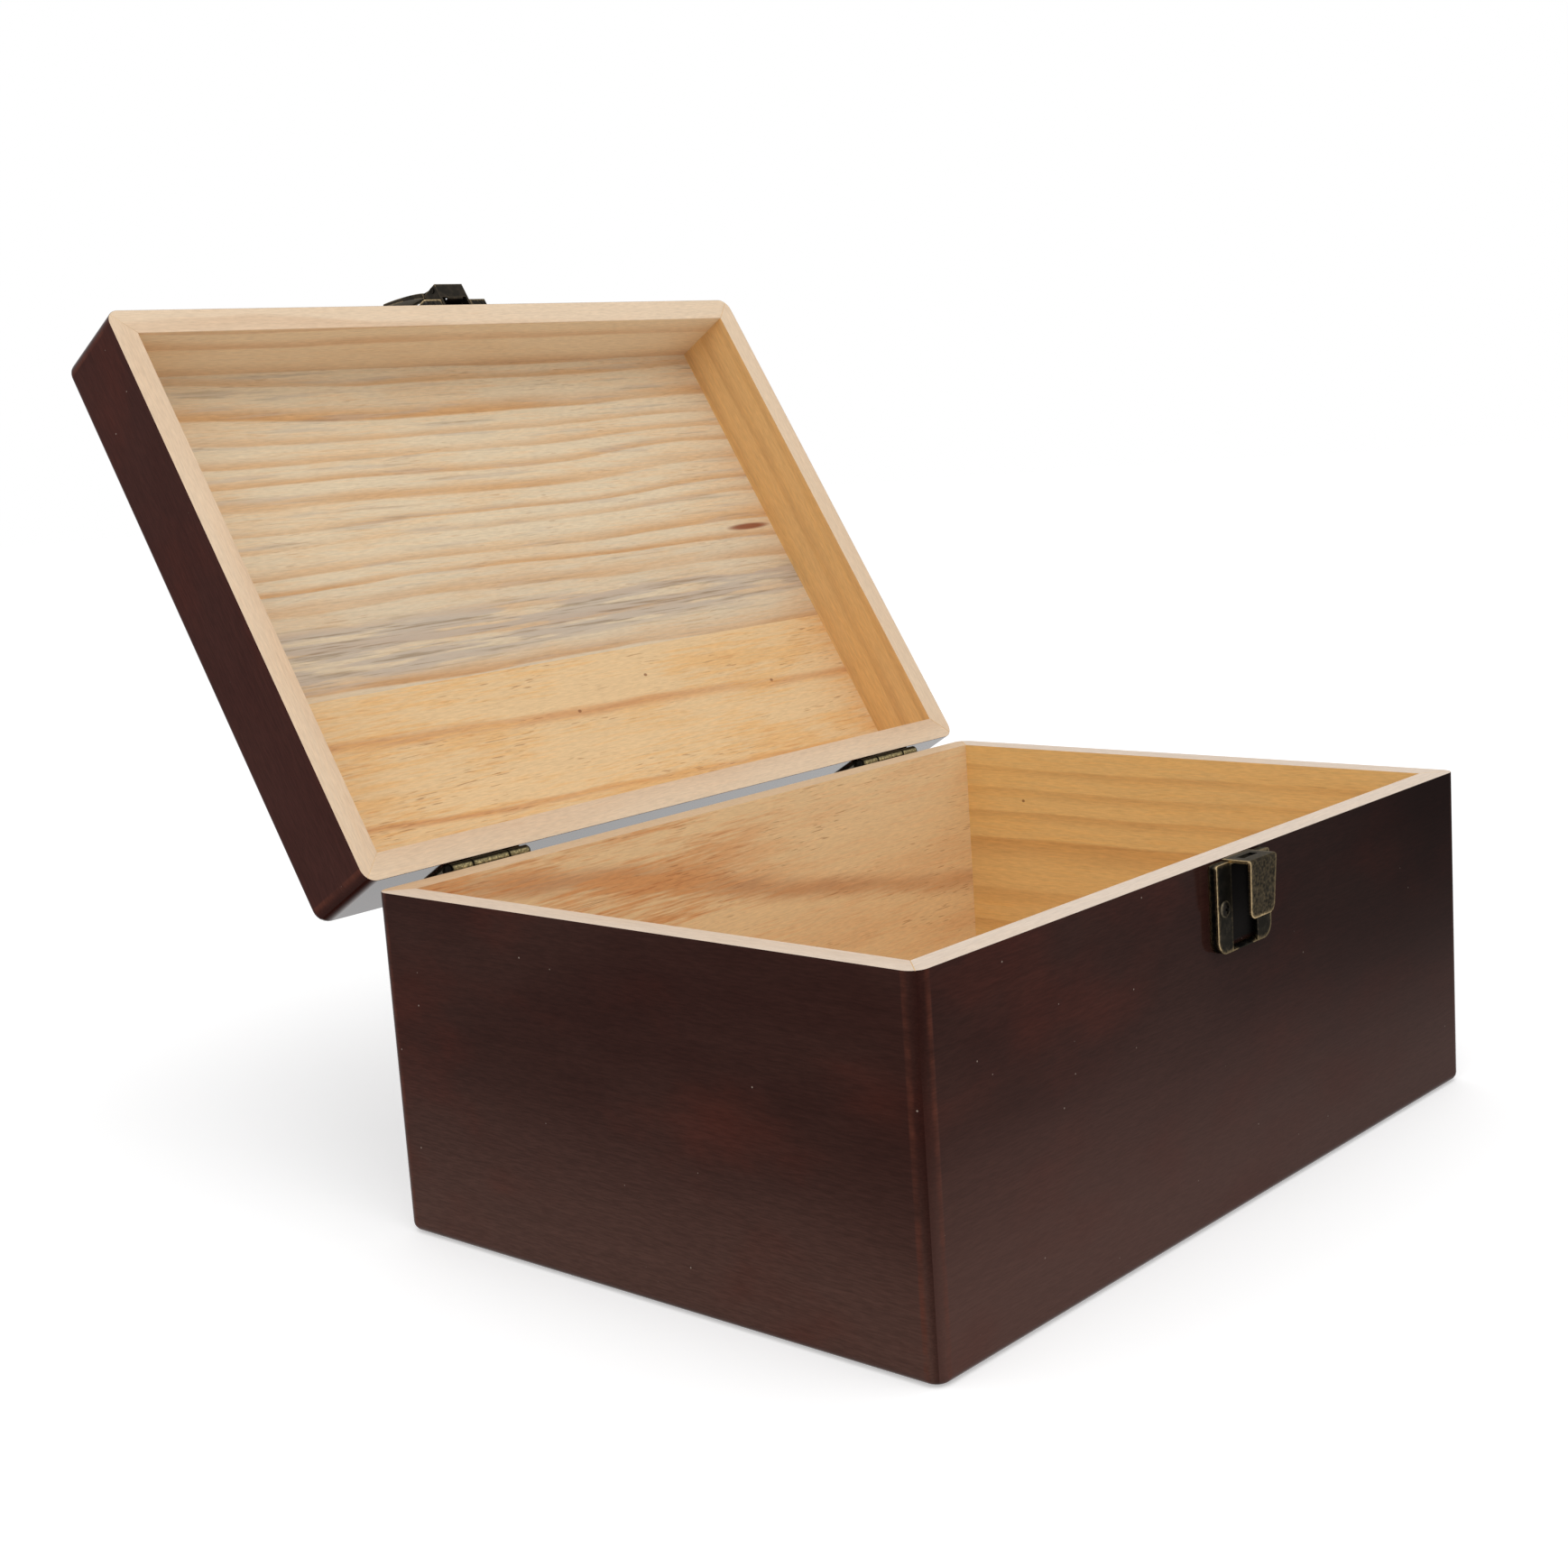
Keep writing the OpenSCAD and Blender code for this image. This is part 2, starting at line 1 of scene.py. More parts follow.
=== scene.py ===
# %% [markdown]
# # A hinged wooden keepsake box
# This lesson dresses a small hinged box: eight mitred walls, a glued-in bottom and lid,
# two little butt hinges and a latch with a long curved lever.
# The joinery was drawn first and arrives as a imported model, in metres, with Z up.
# It is only looked at here. Pieces that need a softer edge are rebuilt as copies, and the
# rest keep their own mesh and only get a finish.

import json
import math

import bmesh
import bpy
from mathutils import Matrix, Vector
from mathutils.kdtree import KDTree


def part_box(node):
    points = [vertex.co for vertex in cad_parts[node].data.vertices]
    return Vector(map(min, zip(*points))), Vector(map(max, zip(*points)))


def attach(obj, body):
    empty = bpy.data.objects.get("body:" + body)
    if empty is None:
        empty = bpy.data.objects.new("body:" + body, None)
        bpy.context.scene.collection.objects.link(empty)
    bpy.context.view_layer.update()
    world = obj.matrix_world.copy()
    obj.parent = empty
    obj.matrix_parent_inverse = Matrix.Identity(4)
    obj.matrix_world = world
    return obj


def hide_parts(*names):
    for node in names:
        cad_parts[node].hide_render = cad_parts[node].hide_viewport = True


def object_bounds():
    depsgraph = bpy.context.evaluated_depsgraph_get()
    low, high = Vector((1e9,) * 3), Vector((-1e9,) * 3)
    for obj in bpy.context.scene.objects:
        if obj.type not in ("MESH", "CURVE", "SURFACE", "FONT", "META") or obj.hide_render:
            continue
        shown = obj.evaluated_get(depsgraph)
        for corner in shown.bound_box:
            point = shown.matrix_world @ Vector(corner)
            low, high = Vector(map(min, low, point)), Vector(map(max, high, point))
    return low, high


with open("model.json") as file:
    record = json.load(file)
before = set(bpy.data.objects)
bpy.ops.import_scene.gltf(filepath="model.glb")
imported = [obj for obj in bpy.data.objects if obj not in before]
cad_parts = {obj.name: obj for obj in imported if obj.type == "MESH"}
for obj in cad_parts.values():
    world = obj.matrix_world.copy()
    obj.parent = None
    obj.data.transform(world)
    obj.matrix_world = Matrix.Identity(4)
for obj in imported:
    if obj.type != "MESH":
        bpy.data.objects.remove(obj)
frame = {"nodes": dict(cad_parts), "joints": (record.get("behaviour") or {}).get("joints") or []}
cad_low, cad_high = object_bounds()
print("packed box, metres:", [round(v, 4) for v in (*cad_low, *cad_high)])

# %% [markdown]
# ## Units and colours
# Sizes of real pieces are easiest to read in millimetres, and colours as the 0 to 255
# values that a paint chart shows. Shaders want metres and linear light, so a constant and
# a small helper turn one into the other, and every later cell can use plain numbers.

# %% Millimetres and screen colours
MM = 0.001


def paint(red, green, blue):
    """A colour chart's 0-255 red, green and blue as a linear colour for a shader."""
    def linear(value):
        share = value / 255
        return share / 12.92 if share <= 0.04045 else ((share + 0.055) / 1.055) ** 2.4
    return (linear(red), linear(green), linear(blue), 1.0)


print("mid grey in linear light:", round(paint(128, 128, 128)[0], 3))

# %% [markdown]
# ## How the lid swings
# The lid is shown standing open. Its grain and its edges are easier to think about with
# the lid shut, because then every board is square to X, Y and Z.
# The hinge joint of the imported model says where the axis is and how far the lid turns
# until it is shut, so one matrix takes any point of the open lid to its shut place. The
# latch's lever swings with the lid, and the base stays where it is.

# %% A matrix that shuts the lid
lid_hinge = next(joint for joint in frame["joints"] if joint["name"] == "lid_hinge")
hinge_point = Vector(lid_hinge["pos_m"])
open_angle = math.radians(max(lid_hinge["range_deg"], key=abs))
SHUT = (
    Matrix.Translation(hinge_point)
    @ Matrix.Rotation(open_angle, 4, Vector(lid_hinge["axis"]))
    @ Matrix.Translation(-hinge_point)
)
OPEN = SHUT.inverted()
HERE = Matrix.Identity(4)
TO_SHUT = {"base": HERE, "lid": SHUT, "lever": SHUT}
print("the lid turns", round(math.degrees(open_angle), 1), "degrees until it is shut")

# %% [markdown]
# ## The camera
# A photograph's viewpoint can be found by matching the box's corners. It comes down to a
# place, a heading, a downward tilt, a slight roll and a focal length in pixels.
# The camera's matrix is written from those values directly, because aiming constraints
# can't hold a roll. Blender wants the lens in millimetres, so the focal length is scaled
# from the picture's width to the sensor's.

# %% Camera
PICTURE_WIDTH_PX = 1738
FOCAL_PX = 2472.93
CAMERA_PLACE = Vector((-0.563438, -0.441884, 0.249434))
CAMERA_HEADING, CAMERA_TILT, CAMERA_ROLL = (math.radians(a) for a in (-47.798, 9.663, -3.928))

ahead = Vector((
    -math.sin(CAMERA_HEADING) * math.cos(CAMERA_TILT),
    math.cos(CAMERA_HEADING) * math.cos(CAMERA_TILT),
    -math.sin(CAMERA_TILT),
))
level_right = ahead.cross(Vector((0, 0, 1))).normalized()
level_up = level_right.cross(ahead)
picture_right = level_right * math.cos(CAMERA_ROLL) + level_up * math.sin(CAMERA_ROLL)
picture_up = level_up * math.cos(CAMERA_ROLL) - level_right * math.sin(CAMERA_ROLL)


def in_scene(name, data):
    """A new object with this data, linked to the scene."""
    made = bpy.data.objects.new(name, data)
    bpy.context.scene.collection.objects.link(made)
    return made


camera_data = bpy.data.cameras.new("box_camera")
camera_data.sensor_width = 36
camera_data.lens = camera_data.sensor_width * FOCAL_PX / PICTURE_WIDTH_PX
camera_data.clip_start = 0.01
camera = in_scene("box_camera", camera_data)
bpy.context.scene.camera = camera
camera.matrix_world = Matrix.Translation(CAMERA_PLACE) @ Matrix((
    picture_right, picture_up, -ahead)).transposed().to_4x4()
print("lens:", round(camera_data.lens, 2), "mm")

# %% [markdown]
# ## Wiring nodes in code
# A material is a graph, and a graph written node by node soon hides what it does.
# Small helpers keep the later cells readable. The first adds a node and plugs in its
# inputs. The others do a sum, split a place into its axes, mix or shade colours, fade a
# value between two limits, and make noise that is stretched along the grain.

# %% Helpers for node trees
def add(tree, kind, inputs=None, **settings):
    """A new node. Each input is either another node's socket, to link, or a plain value."""
    made = tree.nodes.new(kind)
    count = len(tree.nodes)
    made.location = (220 * (count // 5), -190 * (count % 5))
    for name, value in settings.items():
        setattr(made, name, value)
    for name, value in (inputs or {}).items():
        if isinstance(value, bpy.types.NodeSocket):
            tree.links.new(value, made.inputs[name])
        else:
            made.inputs[name].default_value = value
    return made


def calc(tree, what, *values):
    """The result of one Math node."""
    return add(tree, "ShaderNodeMath", dict(enumerate(values)), operation=what).outputs[0]


def times(tree, *values):
    """The product of two or more values."""
    product = values[0]
    for value in values[1:]:
        product = calc(tree, "MULTIPLY", product, value)
    return product


def axes_of(tree, place):
    """The X, Y and Z of a place, as three sockets."""
    return add(tree, "ShaderNodeSeparateXYZ", {0: place}).outputs


def mixed(tree, share, first, second, how="MIX"):
    """Two colours mixed by a share between 0 and 1."""
    return add(
        tree, "ShaderNodeMix", {0: share, 6: first, 7: second},
        data_type="RGBA", blend_type=how, clamp_factor=True).outputs[2]


def shaded(tree, tone, shade):
    """A colour with its red, green and blue multiplied by one factor."""
    grey = add(tree, "ShaderNodeCombineXYZ", {0: shade, 1: shade, 2: shade}).outputs[0]
    return mixed(tree, 1.0, tone, grey, "MULTIPLY")


def fade(tree, value, low, high, start=0.0, end=1.0):
    """Start on the side of low, end on the side of high, and an S-curve between them."""
    return add(
        tree, "ShaderNodeMapRange",
        {"Value": value, "From Min": low, "From Max": high, "To Min": start, "To Max": end},
        interpolation_type="SMOOTHSTEP").outputs["Result"]


def grain_noise(tree, place, along, across, seed, detail=2.0, offset=0.0):
    """Noise in spots `along` mm long and `across` mm wide; each offset is a new pattern."""
    if offset:
        seed = calc(tree, "ADD", seed, offset)
    squeezed = add(
        tree, "ShaderNodeVectorMath", {0: place, 1: (1 / along, 1 / across, 1 / across)},
        operation="MULTIPLY").outputs[0]
    return add(
        tree, "ShaderNodeTexNoise",
        {"Vector": squeezed, "W": seed, "Scale": 1.0, "Detail": detail},
        noise_dimensions="4D").outputs[0]


print("helpers ready: add, calc, times, axes_of, mixed, shaded, fade, grain_noise")

# %% [markdown]
# ## The studio
# The box stands on a pale floor under soft light from all round.
# The background is white because the world answers camera, mirror and glass rays with
# white. What lights the box is a separate, softer value, so pale pine isn't burnt out.
# The floor is grey paper. A little glow, for the camera alone, lifts its lit part to
# white and leaves the box's shadow. Mirrors and glass see the floor plain white.
# Two large lamps, one above and one on the left, give the light a direction, so that
# rounded edges catch it. Large lamps keep shadows soft, and the camera doesn't see them.

# %% World light
WORLD_LIGHT = 0.80
WHITE = (1, 1, 1, 1)
world = bpy.data.worlds.new("soft_studio")
world.use_nodes = True
bpy.context.scene.world = world
bpy.context.scene.view_settings.view_transform = "Standard"
sky = world.node_tree


def by_mirror_or_glass(tree, rays):
    """1 for rays that come by a mirror or through glass, 0 for the others."""
    return calc(tree, "MAXIMUM", rays["Is Glossy Ray"], rays["Is Transmission Ray"])


sky.nodes.clear()
sky_rays = add(sky, "ShaderNodeLightPath").outputs
seen = calc(sky, "MAXIMUM", sky_rays["Is Camera Ray"], by_mirror_or_glass(sky, sky_rays))
lighting = add(sky, "ShaderNodeBackground", {"Color": WHITE, "Strength": WORLD_LIGHT})
backdrop = add(sky, "ShaderNodeBackground", {"Color": WHITE, "Strength": 1.0})
choice = add(sky, "ShaderNodeMixShader", {
    0: seen, 1: lighting.outputs[0], 2: backdrop.outputs[0]})
add(sky, "ShaderNodeOutputWorld", {"Surface": choice.outputs[0]})
print("world light:", WORLD_LIGHT)

# %% Floor
FLOOR_RADIUS = 6.0
FLOOR_DROP = 0.2 * MM
PAPER_GREY = (0.80, 0.80, 0.80, 1)
PAPER_GLOW = 0.37


def mesh_from(work, name):
    """A working mesh as a mesh to keep; the working one is freed."""
    mesh = bpy.data.meshes.new(name)
    work.to_mesh(mesh)
    work.free()
    return mesh


disc = bmesh.new()
bmesh.ops.create_circle(disc, cap_ends=True, segments=96, radius=FLOOR_RADIUS)
bmesh.ops.translate(disc, verts=disc.verts, vec=(0, 0, -FLOOR_DROP))
studio_floor = in_scene("studio_floor", mesh_from(disc, "studio_floor"))

floor_paper = bpy.data.materials.new("floor_paper")
floor_paper.use_nodes = True
paper = floor_paper.node_tree
paper.nodes.clear()
matt = add(paper, "ShaderNodeBsdfDiffuse", {"Color": PAPER_GREY})
paper_rays = add(paper, "ShaderNodeLightPath").outputs
glow = add(paper, "ShaderNodeEmission", {
    "Color": WHITE, "Strength": times(paper, paper_rays["Is Camera Ray"], PAPER_GLOW)})
lit_paper = add(paper, "ShaderNodeAddShader", {0: matt.outputs[0], 1: glow.outputs[0]})
plain_white = add(paper, "ShaderNodeEmission", {"Color": WHITE, "Strength": 1.0})
floor_look = add(paper, "ShaderNodeMixShader", {
    0: by_mirror_or_glass(paper, paper_rays),
    1: lit_paper.outputs[0], 2: plain_white.outputs[0]})
add(paper, "ShaderNodeOutputMaterial", {"Surface": floor_look.outputs[0]})
studio_floor.data.materials.append(floor_paper)
print("floor radius:", FLOOR_RADIUS, "m")

# %% Two large soft lamps
def soft_lamp(name, place, size, watts):
    """A square area lamp that looks at the middle of the box."""
    data = bpy.data.lights.new(name, "AREA")
    data.shape = "SQUARE"
    data.size = size
    data.energy = watts
    lamp = in_scene(name, data)
    lamp.location = place
    aim = (cad_low + cad_high) / 2 - Vector(place)
    lamp.rotation_euler = aim.to_track_quat("-Z", "Y").to_euler()
    lamp.visible_camera = False


soft_lamp("lamp_over", (-0.3, -0.5, 1.7), size=1.2, watts=7.0)
soft_lamp("lamp_left", (-1.6, -0.6, 0.9), size=1.0, watts=3.0)
print("lamps:", [light.name for light in bpy.data.lights])

# %% [markdown]
# ## Boards with softened rims
# Sanded boards have no knife edges. Light catches the tiny round along each rim, and a
# hairline shows where two boards meet in a mitre.
# A Bevel modifier would round every edge alike, also the hidden ones. The copy is
# therefore bevelled in code: its triangles are welded, flat areas are joined into whole
# faces, and only the edges of the rim are picked, by where they lie.
# A finished copy shades smoothly across its rounds. A Weighted Normal modifier lets the
# large faces decide, so that they still look flat right up to the round.

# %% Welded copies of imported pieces
WELD = 0.002 * MM
FLAT_WITHIN = math.radians(0.6)


def welded(node):
    """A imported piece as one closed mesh, with each flat area as one face."""
    work = bmesh.new()
    work.from_mesh(frame["nodes"][node].data)
    bmesh.ops.remove_doubles(work, verts=work.verts, dist=WELD)
    bmesh.ops.dissolve_limit(
        work, angle_limit=FLAT_WITHIN, verts=work.verts, edges=work.edges)
    return work


def soften(work, edges, size, steps):
    """Rounds these edges by size, in mm."""
    bmesh.ops.bevel(
        work, geom=list(edges), offset=size * MM, offset_type="OFFSET", segments=steps,
        profile=0.5, affect="EDGES", clamp_overlap=True)


sample = welded("lid_panel")
print("lid panel, welded:", len(sample.faces), "faces")
sample.free()

# %% From a working mesh to a finished piece
CREASE = math.radians(32)


def made_plain(piece):
    """Swaps a piece's mesh for what its modifiers make of it, and takes them off."""
    bpy.context.view_layer.update()
    graph = bpy.context.evaluated_depsgraph_get()
    mesh = bpy.data.meshes.new_from_object(
        piece.evaluated_get(graph), preserve_all_data_layers=True, depsgraph=graph)
    piece.modifiers.clear()
    piece.data = mesh


def shown(work, name, node, body, finishes):
    """Turns the working mesh into a piece that rides on its body and stands for its node."""
    mesh = mesh_from(work, name)
    if "custom_normal" in mesh.attributes:
        mesh.attributes.remove(mesh.attributes["custom_normal"])
    mesh.shade_smooth()
    mesh.set_sharp_from_angle(angle=CREASE)
    for finish in finishes:
        mesh.materials.append(finish)
    piece = in_scene(name, mesh)
    flats = piece.modifiers.new("flats_stay_flat", "WEIGHTED_NORMAL")
    flats.keep_sharp = True
    flats.weight = 100
    made_plain(piece)
    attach(piece, body)
    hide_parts(node)
    return piece


print("edges stay sharp where they turn by more than", round(math.degrees(CREASE)), "degrees")

# %% [markdown]
# ## Pine
# The inside is bare pine. Its figure is a cut through the tree's rings, so the pattern is
# built as rings in space around a far-off pith, and each board is a slice of them.
# Every ring goes from pale early wood to a thin darker line. Noise lets the lines wander,
# fade and change in strength. On top come short fibres, warm patches and small pores.
# One group holds all this, and each board sets its own ring spacing, pith and colours.
# Slope runs the rings out along the board, Fray tears their lines into strands, Start says
# where in a ring its line begins, and Paling takes the warm patches off the right end.

# %% The pine group
def group_tree(name, sockets, results):
    """An empty shader group with these named inputs and outputs."""
    tree = bpy.data.node_groups.new(name, "ShaderNodeTree")
    for label, kind, value in sockets:
        socket = tree.interface.new_socket(name=label, in_out="INPUT", socket_type=kind)
        if value is not None:
            socket.default_value = value
    for label, kind in results:
        tree.interface.new_socket(name=label, in_out="OUTPUT", socket_type=kind)
    return tree


FLOAT, COLOUR, VECTOR = "NodeSocketFloat", "NodeSocketColor", "NodeSocketVector"
pine = group_tree(
    "pine_figure",
    [
        ("Place", VECTOR, None),
        ("Pale", COLOUR, paint(226, 205, 168)),
        ("Line", COLOUR, paint(200, 155, 108)),
        ("Warm", COLOUR, paint(214, 170, 120)),
        ("Spacing", FLOAT, 9.0),
        ("PithSide", FLOAT, 0.0),
        ("PithUp", FLOAT, -300.0),
        ("Slope", FLOAT, 0.0),
        ("Wander", FLOAT, 6.0),
        ("Ripple", FLOAT, 1.5),
        ("Fray", FLOAT, 0.0),
        ("Lines", FLOAT, 0.8),
        ("Start", FLOAT, 0.38),
        ("Warmth", FLOAT, 0.3),
        ("Paling", FLOAT, 0.0),
        ("Pores", FLOAT, 0.3),
        ("Seed", FLOAT, 0.0),
    ],
    [("Color", COLOUR), ("Height", FLOAT)])
given = pine.nodes.new("NodeGroupInput").outputs
place, seed = given["Place"], given["Seed"]
axes = axes_of(pine, place)


def swing_of(noise, reach):
    """Noise between 0 and 1 as a shift to either side of nothing."""
    return times(pine, calc(pine, "SUBTRACT", noise, 0.5), reach)


side_from_pith = calc(pine, "SUBTRACT", axes[1], given["PithSide"])
up_from_pith = calc(pine, "SUBTRACT", axes[2], given["PithUp"])
from_pith = calc(pine, "SQRT", calc(
    pine, "ADD", times(pine, side_from_pith, side_from_pith),
    times(pine, up_from_pith, up_from_pith)))
leaning = calc(pine, "MULTIPLY_ADD", axes[0], given["Slope"], from_pith)
slow = swing_of(grain_noise(pine, place, 165, 55, seed, 1.0), given["Wander"])
quick = swing_of(grain_noise(pine, place, 34, 9, seed, 1.0), given["Ripple"])
strands = grain_noise(pine, place, 18, 0.9, seed, 3.0, offset=5.3)
frayed = calc(pine, "ADD", leaning, swing_of(strands, given["Fray"]))
ring_place = calc(pine, "ADD", frayed, calc(pine, "ADD", slow, quick))
ring = calc(pine, "DIVIDE", ring_place, given["Spacing"])
uneven = add(
    pine, "ShaderNodeTexNoise",
    {"W": calc(pine, "MULTIPLY_ADD", ring, 0.43, seed), "Scale": 1.0, "Detail": 0.0},
    noise_dimensions="1D").outputs[0]
ring = calc(pine, "ADD", ring, swing_of(uneven, 1.1))
which = calc(pine, "FLOOR", ring)
across_ring = calc(pine, "SUBTRACT", ring, which)
print("pine group: rings laid out")

# %% Colour and relief of the pine group
LINE_PEAK = 0.90
PORE_BROWN = paint(150, 98, 56)

rising = fade(pine, across_ring, given["Start"], LINE_PEAK)
falling = fade(pine, across_ring, LINE_PEAK + 0.01, 1.0, 1.0, 0.0)
per_ring = add(
    pine, "ShaderNodeTexWhiteNoise", {"W": calc(pine, "ADD", which, seed)},
    noise_dimensions="1D").outputs["Value"]
line_weight = calc(pine, "MULTIPLY_ADD", per_ring, 0.55, 0.45)
line_fades = grain_noise(pine, place, 95, 12, seed, offset=3.1)
come_and_go = fade(pine, line_fades, 0.30, 0.60, 0.45, 1.0)
lines = times(pine, rising, falling, line_weight, come_and_go, given["Lines"])
tone = mixed(pine, lines, given["Pale"], given["Line"])

warm_noise = calc(pine, "ADD", swing_of(strands, 0.9),
                  grain_noise(pine, place, 60, 13, seed, offset=7.7))
paling = times(pine, fade(pine, axes[0], -35.0, 45.0), given["Paling"])
warmth = times(pine, given["Warmth"], calc(pine, "SUBTRACT", 1.0, paling))
warm_spots = times(pine, fade(pine, warm_noise, 0.40, 0.70), warmth)
tone = mixed(pine, warm_spots, tone, given["Warm"])
threads = fade(pine, grain_noise(pine, place, 11, 0.6, seed, offset=8.8), 0.54, 0.68)
tone = mixed(pine, times(pine, warm_spots, threads, 0.6), tone, given["Line"])

fibre = grain_noise(pine, place, 4.0, 0.42, seed, 3.0)
tone = shaded(pine, tone, times(pine, fade(pine, fibre, 0.25, 0.75, 0.91, 1.07),
                                fade(pine, strands, 0.30, 0.70, 0.96, 1.03)))

pore_noise = grain_noise(pine, place, 6.0, 0.40, seed, 0.0, offset=1.9)
pore_patches = grain_noise(pine, place, 30, 9, seed, 1.0, offset=9.2)
pores = times(pine, fade(pine, pore_noise, 0.66, 0.78), fade(pine, pore_patches, 0.46, 0.60),
              given["Pores"])
tone = mixed(pine, pores, tone, PORE_BROWN)

relief = calc(pine, "SUBTRACT", calc(pine, "MULTIPLY_ADD", lines, 0.5, fibre), pores)
add(pine, "NodeGroupOutput", {"Color": tone, "Height": relief})
print("pine group:", len(pine.nodes), "nodes")

# %% [markdown]
# ## Dark stain and lacquer
# Outside, the pine was stained a very dark red-brown and sprayed with satin lacquer.
# The stain hides most of the figure. What is left is a slow change between brown and
# reddish patches, faint streaks along the grain, and painted light from the floor that
# makes the foot paler. Each round corner gets patchy pale lines of painted highlight at its
# start and end, with painted shade between them. A few specks of dust sit in the coat.

# %% The stain group
FLOOR_LIGHT_HEIGHT, PAINTED_FLOOR_LIGHT = 70.0, paint(79, 55, 48)
DARK_STAIN, BROWN_STAIN = paint(47, 25, 21), paint(56, 34, 29)
RED_STAIN, RED_PATCH = paint(76, 37, 32), paint(78, 35, 26)

stain = group_tree(
    "dark_stain",
    [
        ("Place", VECTOR, None),
        ("Half Length", FLOAT, 150.0),
        ("Half Depth", FLOAT, 106.35),
        ("Redness", FLOAT, 0.0),
        ("Seed", FLOAT, 0.0),
    ],
    [("Color", COLOUR), ("Height", FLOAT), ("Roughness", FLOAT)])
given = stain.nodes.new("NodeGroupInput").outputs
place, seed = given["Place"], given["Seed"]

axes = axes_of(stain, place)
patches = grain_noise(stain, place, 80, 36, seed, 4.0)
tone = mixed(stain, fade(stain, patches, 0.30, 0.70), DARK_STAIN, BROWN_STAIN)
tone = mixed(stain, given["Redness"], tone, RED_STAIN)
# Painted light from the floor: the stain grows paler towards the foot.
tone = mixed(stain, fade(stain, axes[2], FLOOR_LIGHT_HEIGHT, 0.0), tone, PAINTED_FLOOR_LIGHT)
red_noise = grain_noise(stain, place, 48, 26, seed, 4.0, offset=4.4)
tone = mixed(stain, times(stain, fade(stain, red_noise, 0.46, 0.74), 0.45), tone, RED_PATCH)
streaks = fade(stain, grain_noise(stain, place, 60, 1.6, seed, 3.0), 0.28, 0.72, 0.94, 1.06)
fibre = grain_noise(stain, place, 4.0, 0.45, seed, 3.0, offset=2.2)
print("stain group: patches, foot and streaks")

# %% Painted corner highlights and shade, and dust of the stain group
CORNER_ROUND = 5.0
PAINTED_CORNER_SHADE, PAINTED_CORNER_HIGHLIGHT = paint(38, 14, 10), paint(92, 50, 38)
DUST_SPACING, DUST = 6.0, paint(190, 172, 158)


def past_corner(value, half):
    """How far a point lies past the start of the round corner, in mm."""
    inset = calc(stain, "SUBTRACT", half, CORNER_ROUND)
    return calc(stain, "SUBTRACT", calc(stain, "ABSOLUTE", value), inset)


past_end = past_corner(axes[0], given["Half Length"])
past_side = past_corner(axes[1], given["Half Depth"])
round_turn = calc(stain, "ARCTAN2", calc(stain, "MAXIMUM", past_side, 0.0),
                  calc(stain, "MAXIMUM", past_end, 0.0))
from_middle = calc(stain, "ABSOLUTE", calc(stain, "SUBTRACT", round_turn, math.pi / 4))
on_round = times(stain, fade(stain, past_end, -0.6, 0.1), fade(stain, past_side, -0.6, 0.1))
highlight_noise = grain_noise(stain, place, 7, 7, seed, 3.0, offset=6.1)
# Painted highlight: patchy pale lines at the start and end of each round corner.
corner_highlight = times(stain, fade(stain, from_middle, 0.36, 0.66), on_round,
               fade(stain, highlight_noise, 0.36, 0.66, 0.12, 0.60))
tone = mixed(stain, corner_highlight, tone, PAINTED_CORNER_HIGHLIGHT)
# Painted shade: darker in the middle of each round corner.
corner_shade = times(stain, fade(stain, from_middle, 0.0, 0.5, 0.55, 0.0), on_round)
tone = mixed(stain, corner_shade, tone, PAINTED_CORNER_SHADE)
tone = shaded(stain, tone, times(stain, streaks, fade(stain, fibre, 0.25, 0.75, 0.84, 1.17)))

dust = add(stain, "ShaderNodeTexVoronoi", {"Vector": place, "Scale": 1 / DUST_SPACING})
picked = add(stain, "ShaderNodeSeparateColor", {0: dust.outputs["Color"]}).outputs[0]
speck = times(stain, fade(stain, dust.outputs["Distance"], 0.028, 0.055, 1.0, 0.0),
              calc(stain, "GREATER_THAN", picked, 0.72))
tone = mixed(stain, times(stain, speck, 0.5), tone, DUST)

relief = calc(stain, "MULTIPLY_ADD", speck, 2.0, fibre)
gloss = fade(stain, patches, 0.30, 0.70, 0.42, 0.52)
add(stain, "NodeGroupOutput", {"Color": tone, "Height": relief, "Roughness": gloss})
print("stain group:", len(stain.nodes), "nodes")

# %% [markdown]
# ## One finish for each board
# Object coordinates run in metres and in the place where the open lid stands. A Mapping
# node turns them into millimetres, swings the lid's boards shut and points X along the
# grain of this board, so the groups above always see a board that lies square.
# Bare wood shines a little on its hard dark lines and not between them, and a knot is a
# dark oval laid over the figure. Stained wood is matt under a thin clear coat.
# Two boards have more. The front gets painted light from the floor low down, painted shade
# without coat shine towards the right end, and painted black shade where the wood shows
# through the catch plate. The back of the lid shines like glass at a slant, so there its
# coat grows with the slant of the view.

# %% Helpers for finishes
half_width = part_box("base_right_wall")[1].x
half_depth = -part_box("base_front_wall")[0].y
shut_in_mm = SHUT.copy()
shut_in_mm.translation = SHUT.translation / MM
BEHIND = Matrix.Rotation(-math.pi / 2, 4, "Z")


def grain_place(tree, on_lid, runs_y):
    """Object coordinates in mm, with the lid shut and X along the board."""
    turn = (BEHIND if runs_y else HERE) @ (shut_in_mm if on_lid else HERE)
    return add(tree, "ShaderNodeMapping", {
        "Vector": add(tree, "ShaderNodeTexCoord").outputs["Object"],
        "Location": turn.to_translation(),
        "Rotation": turn.to_euler(),
        "Scale": (1 / MM, 1 / MM, 1 / MM),
    }).outputs[0]


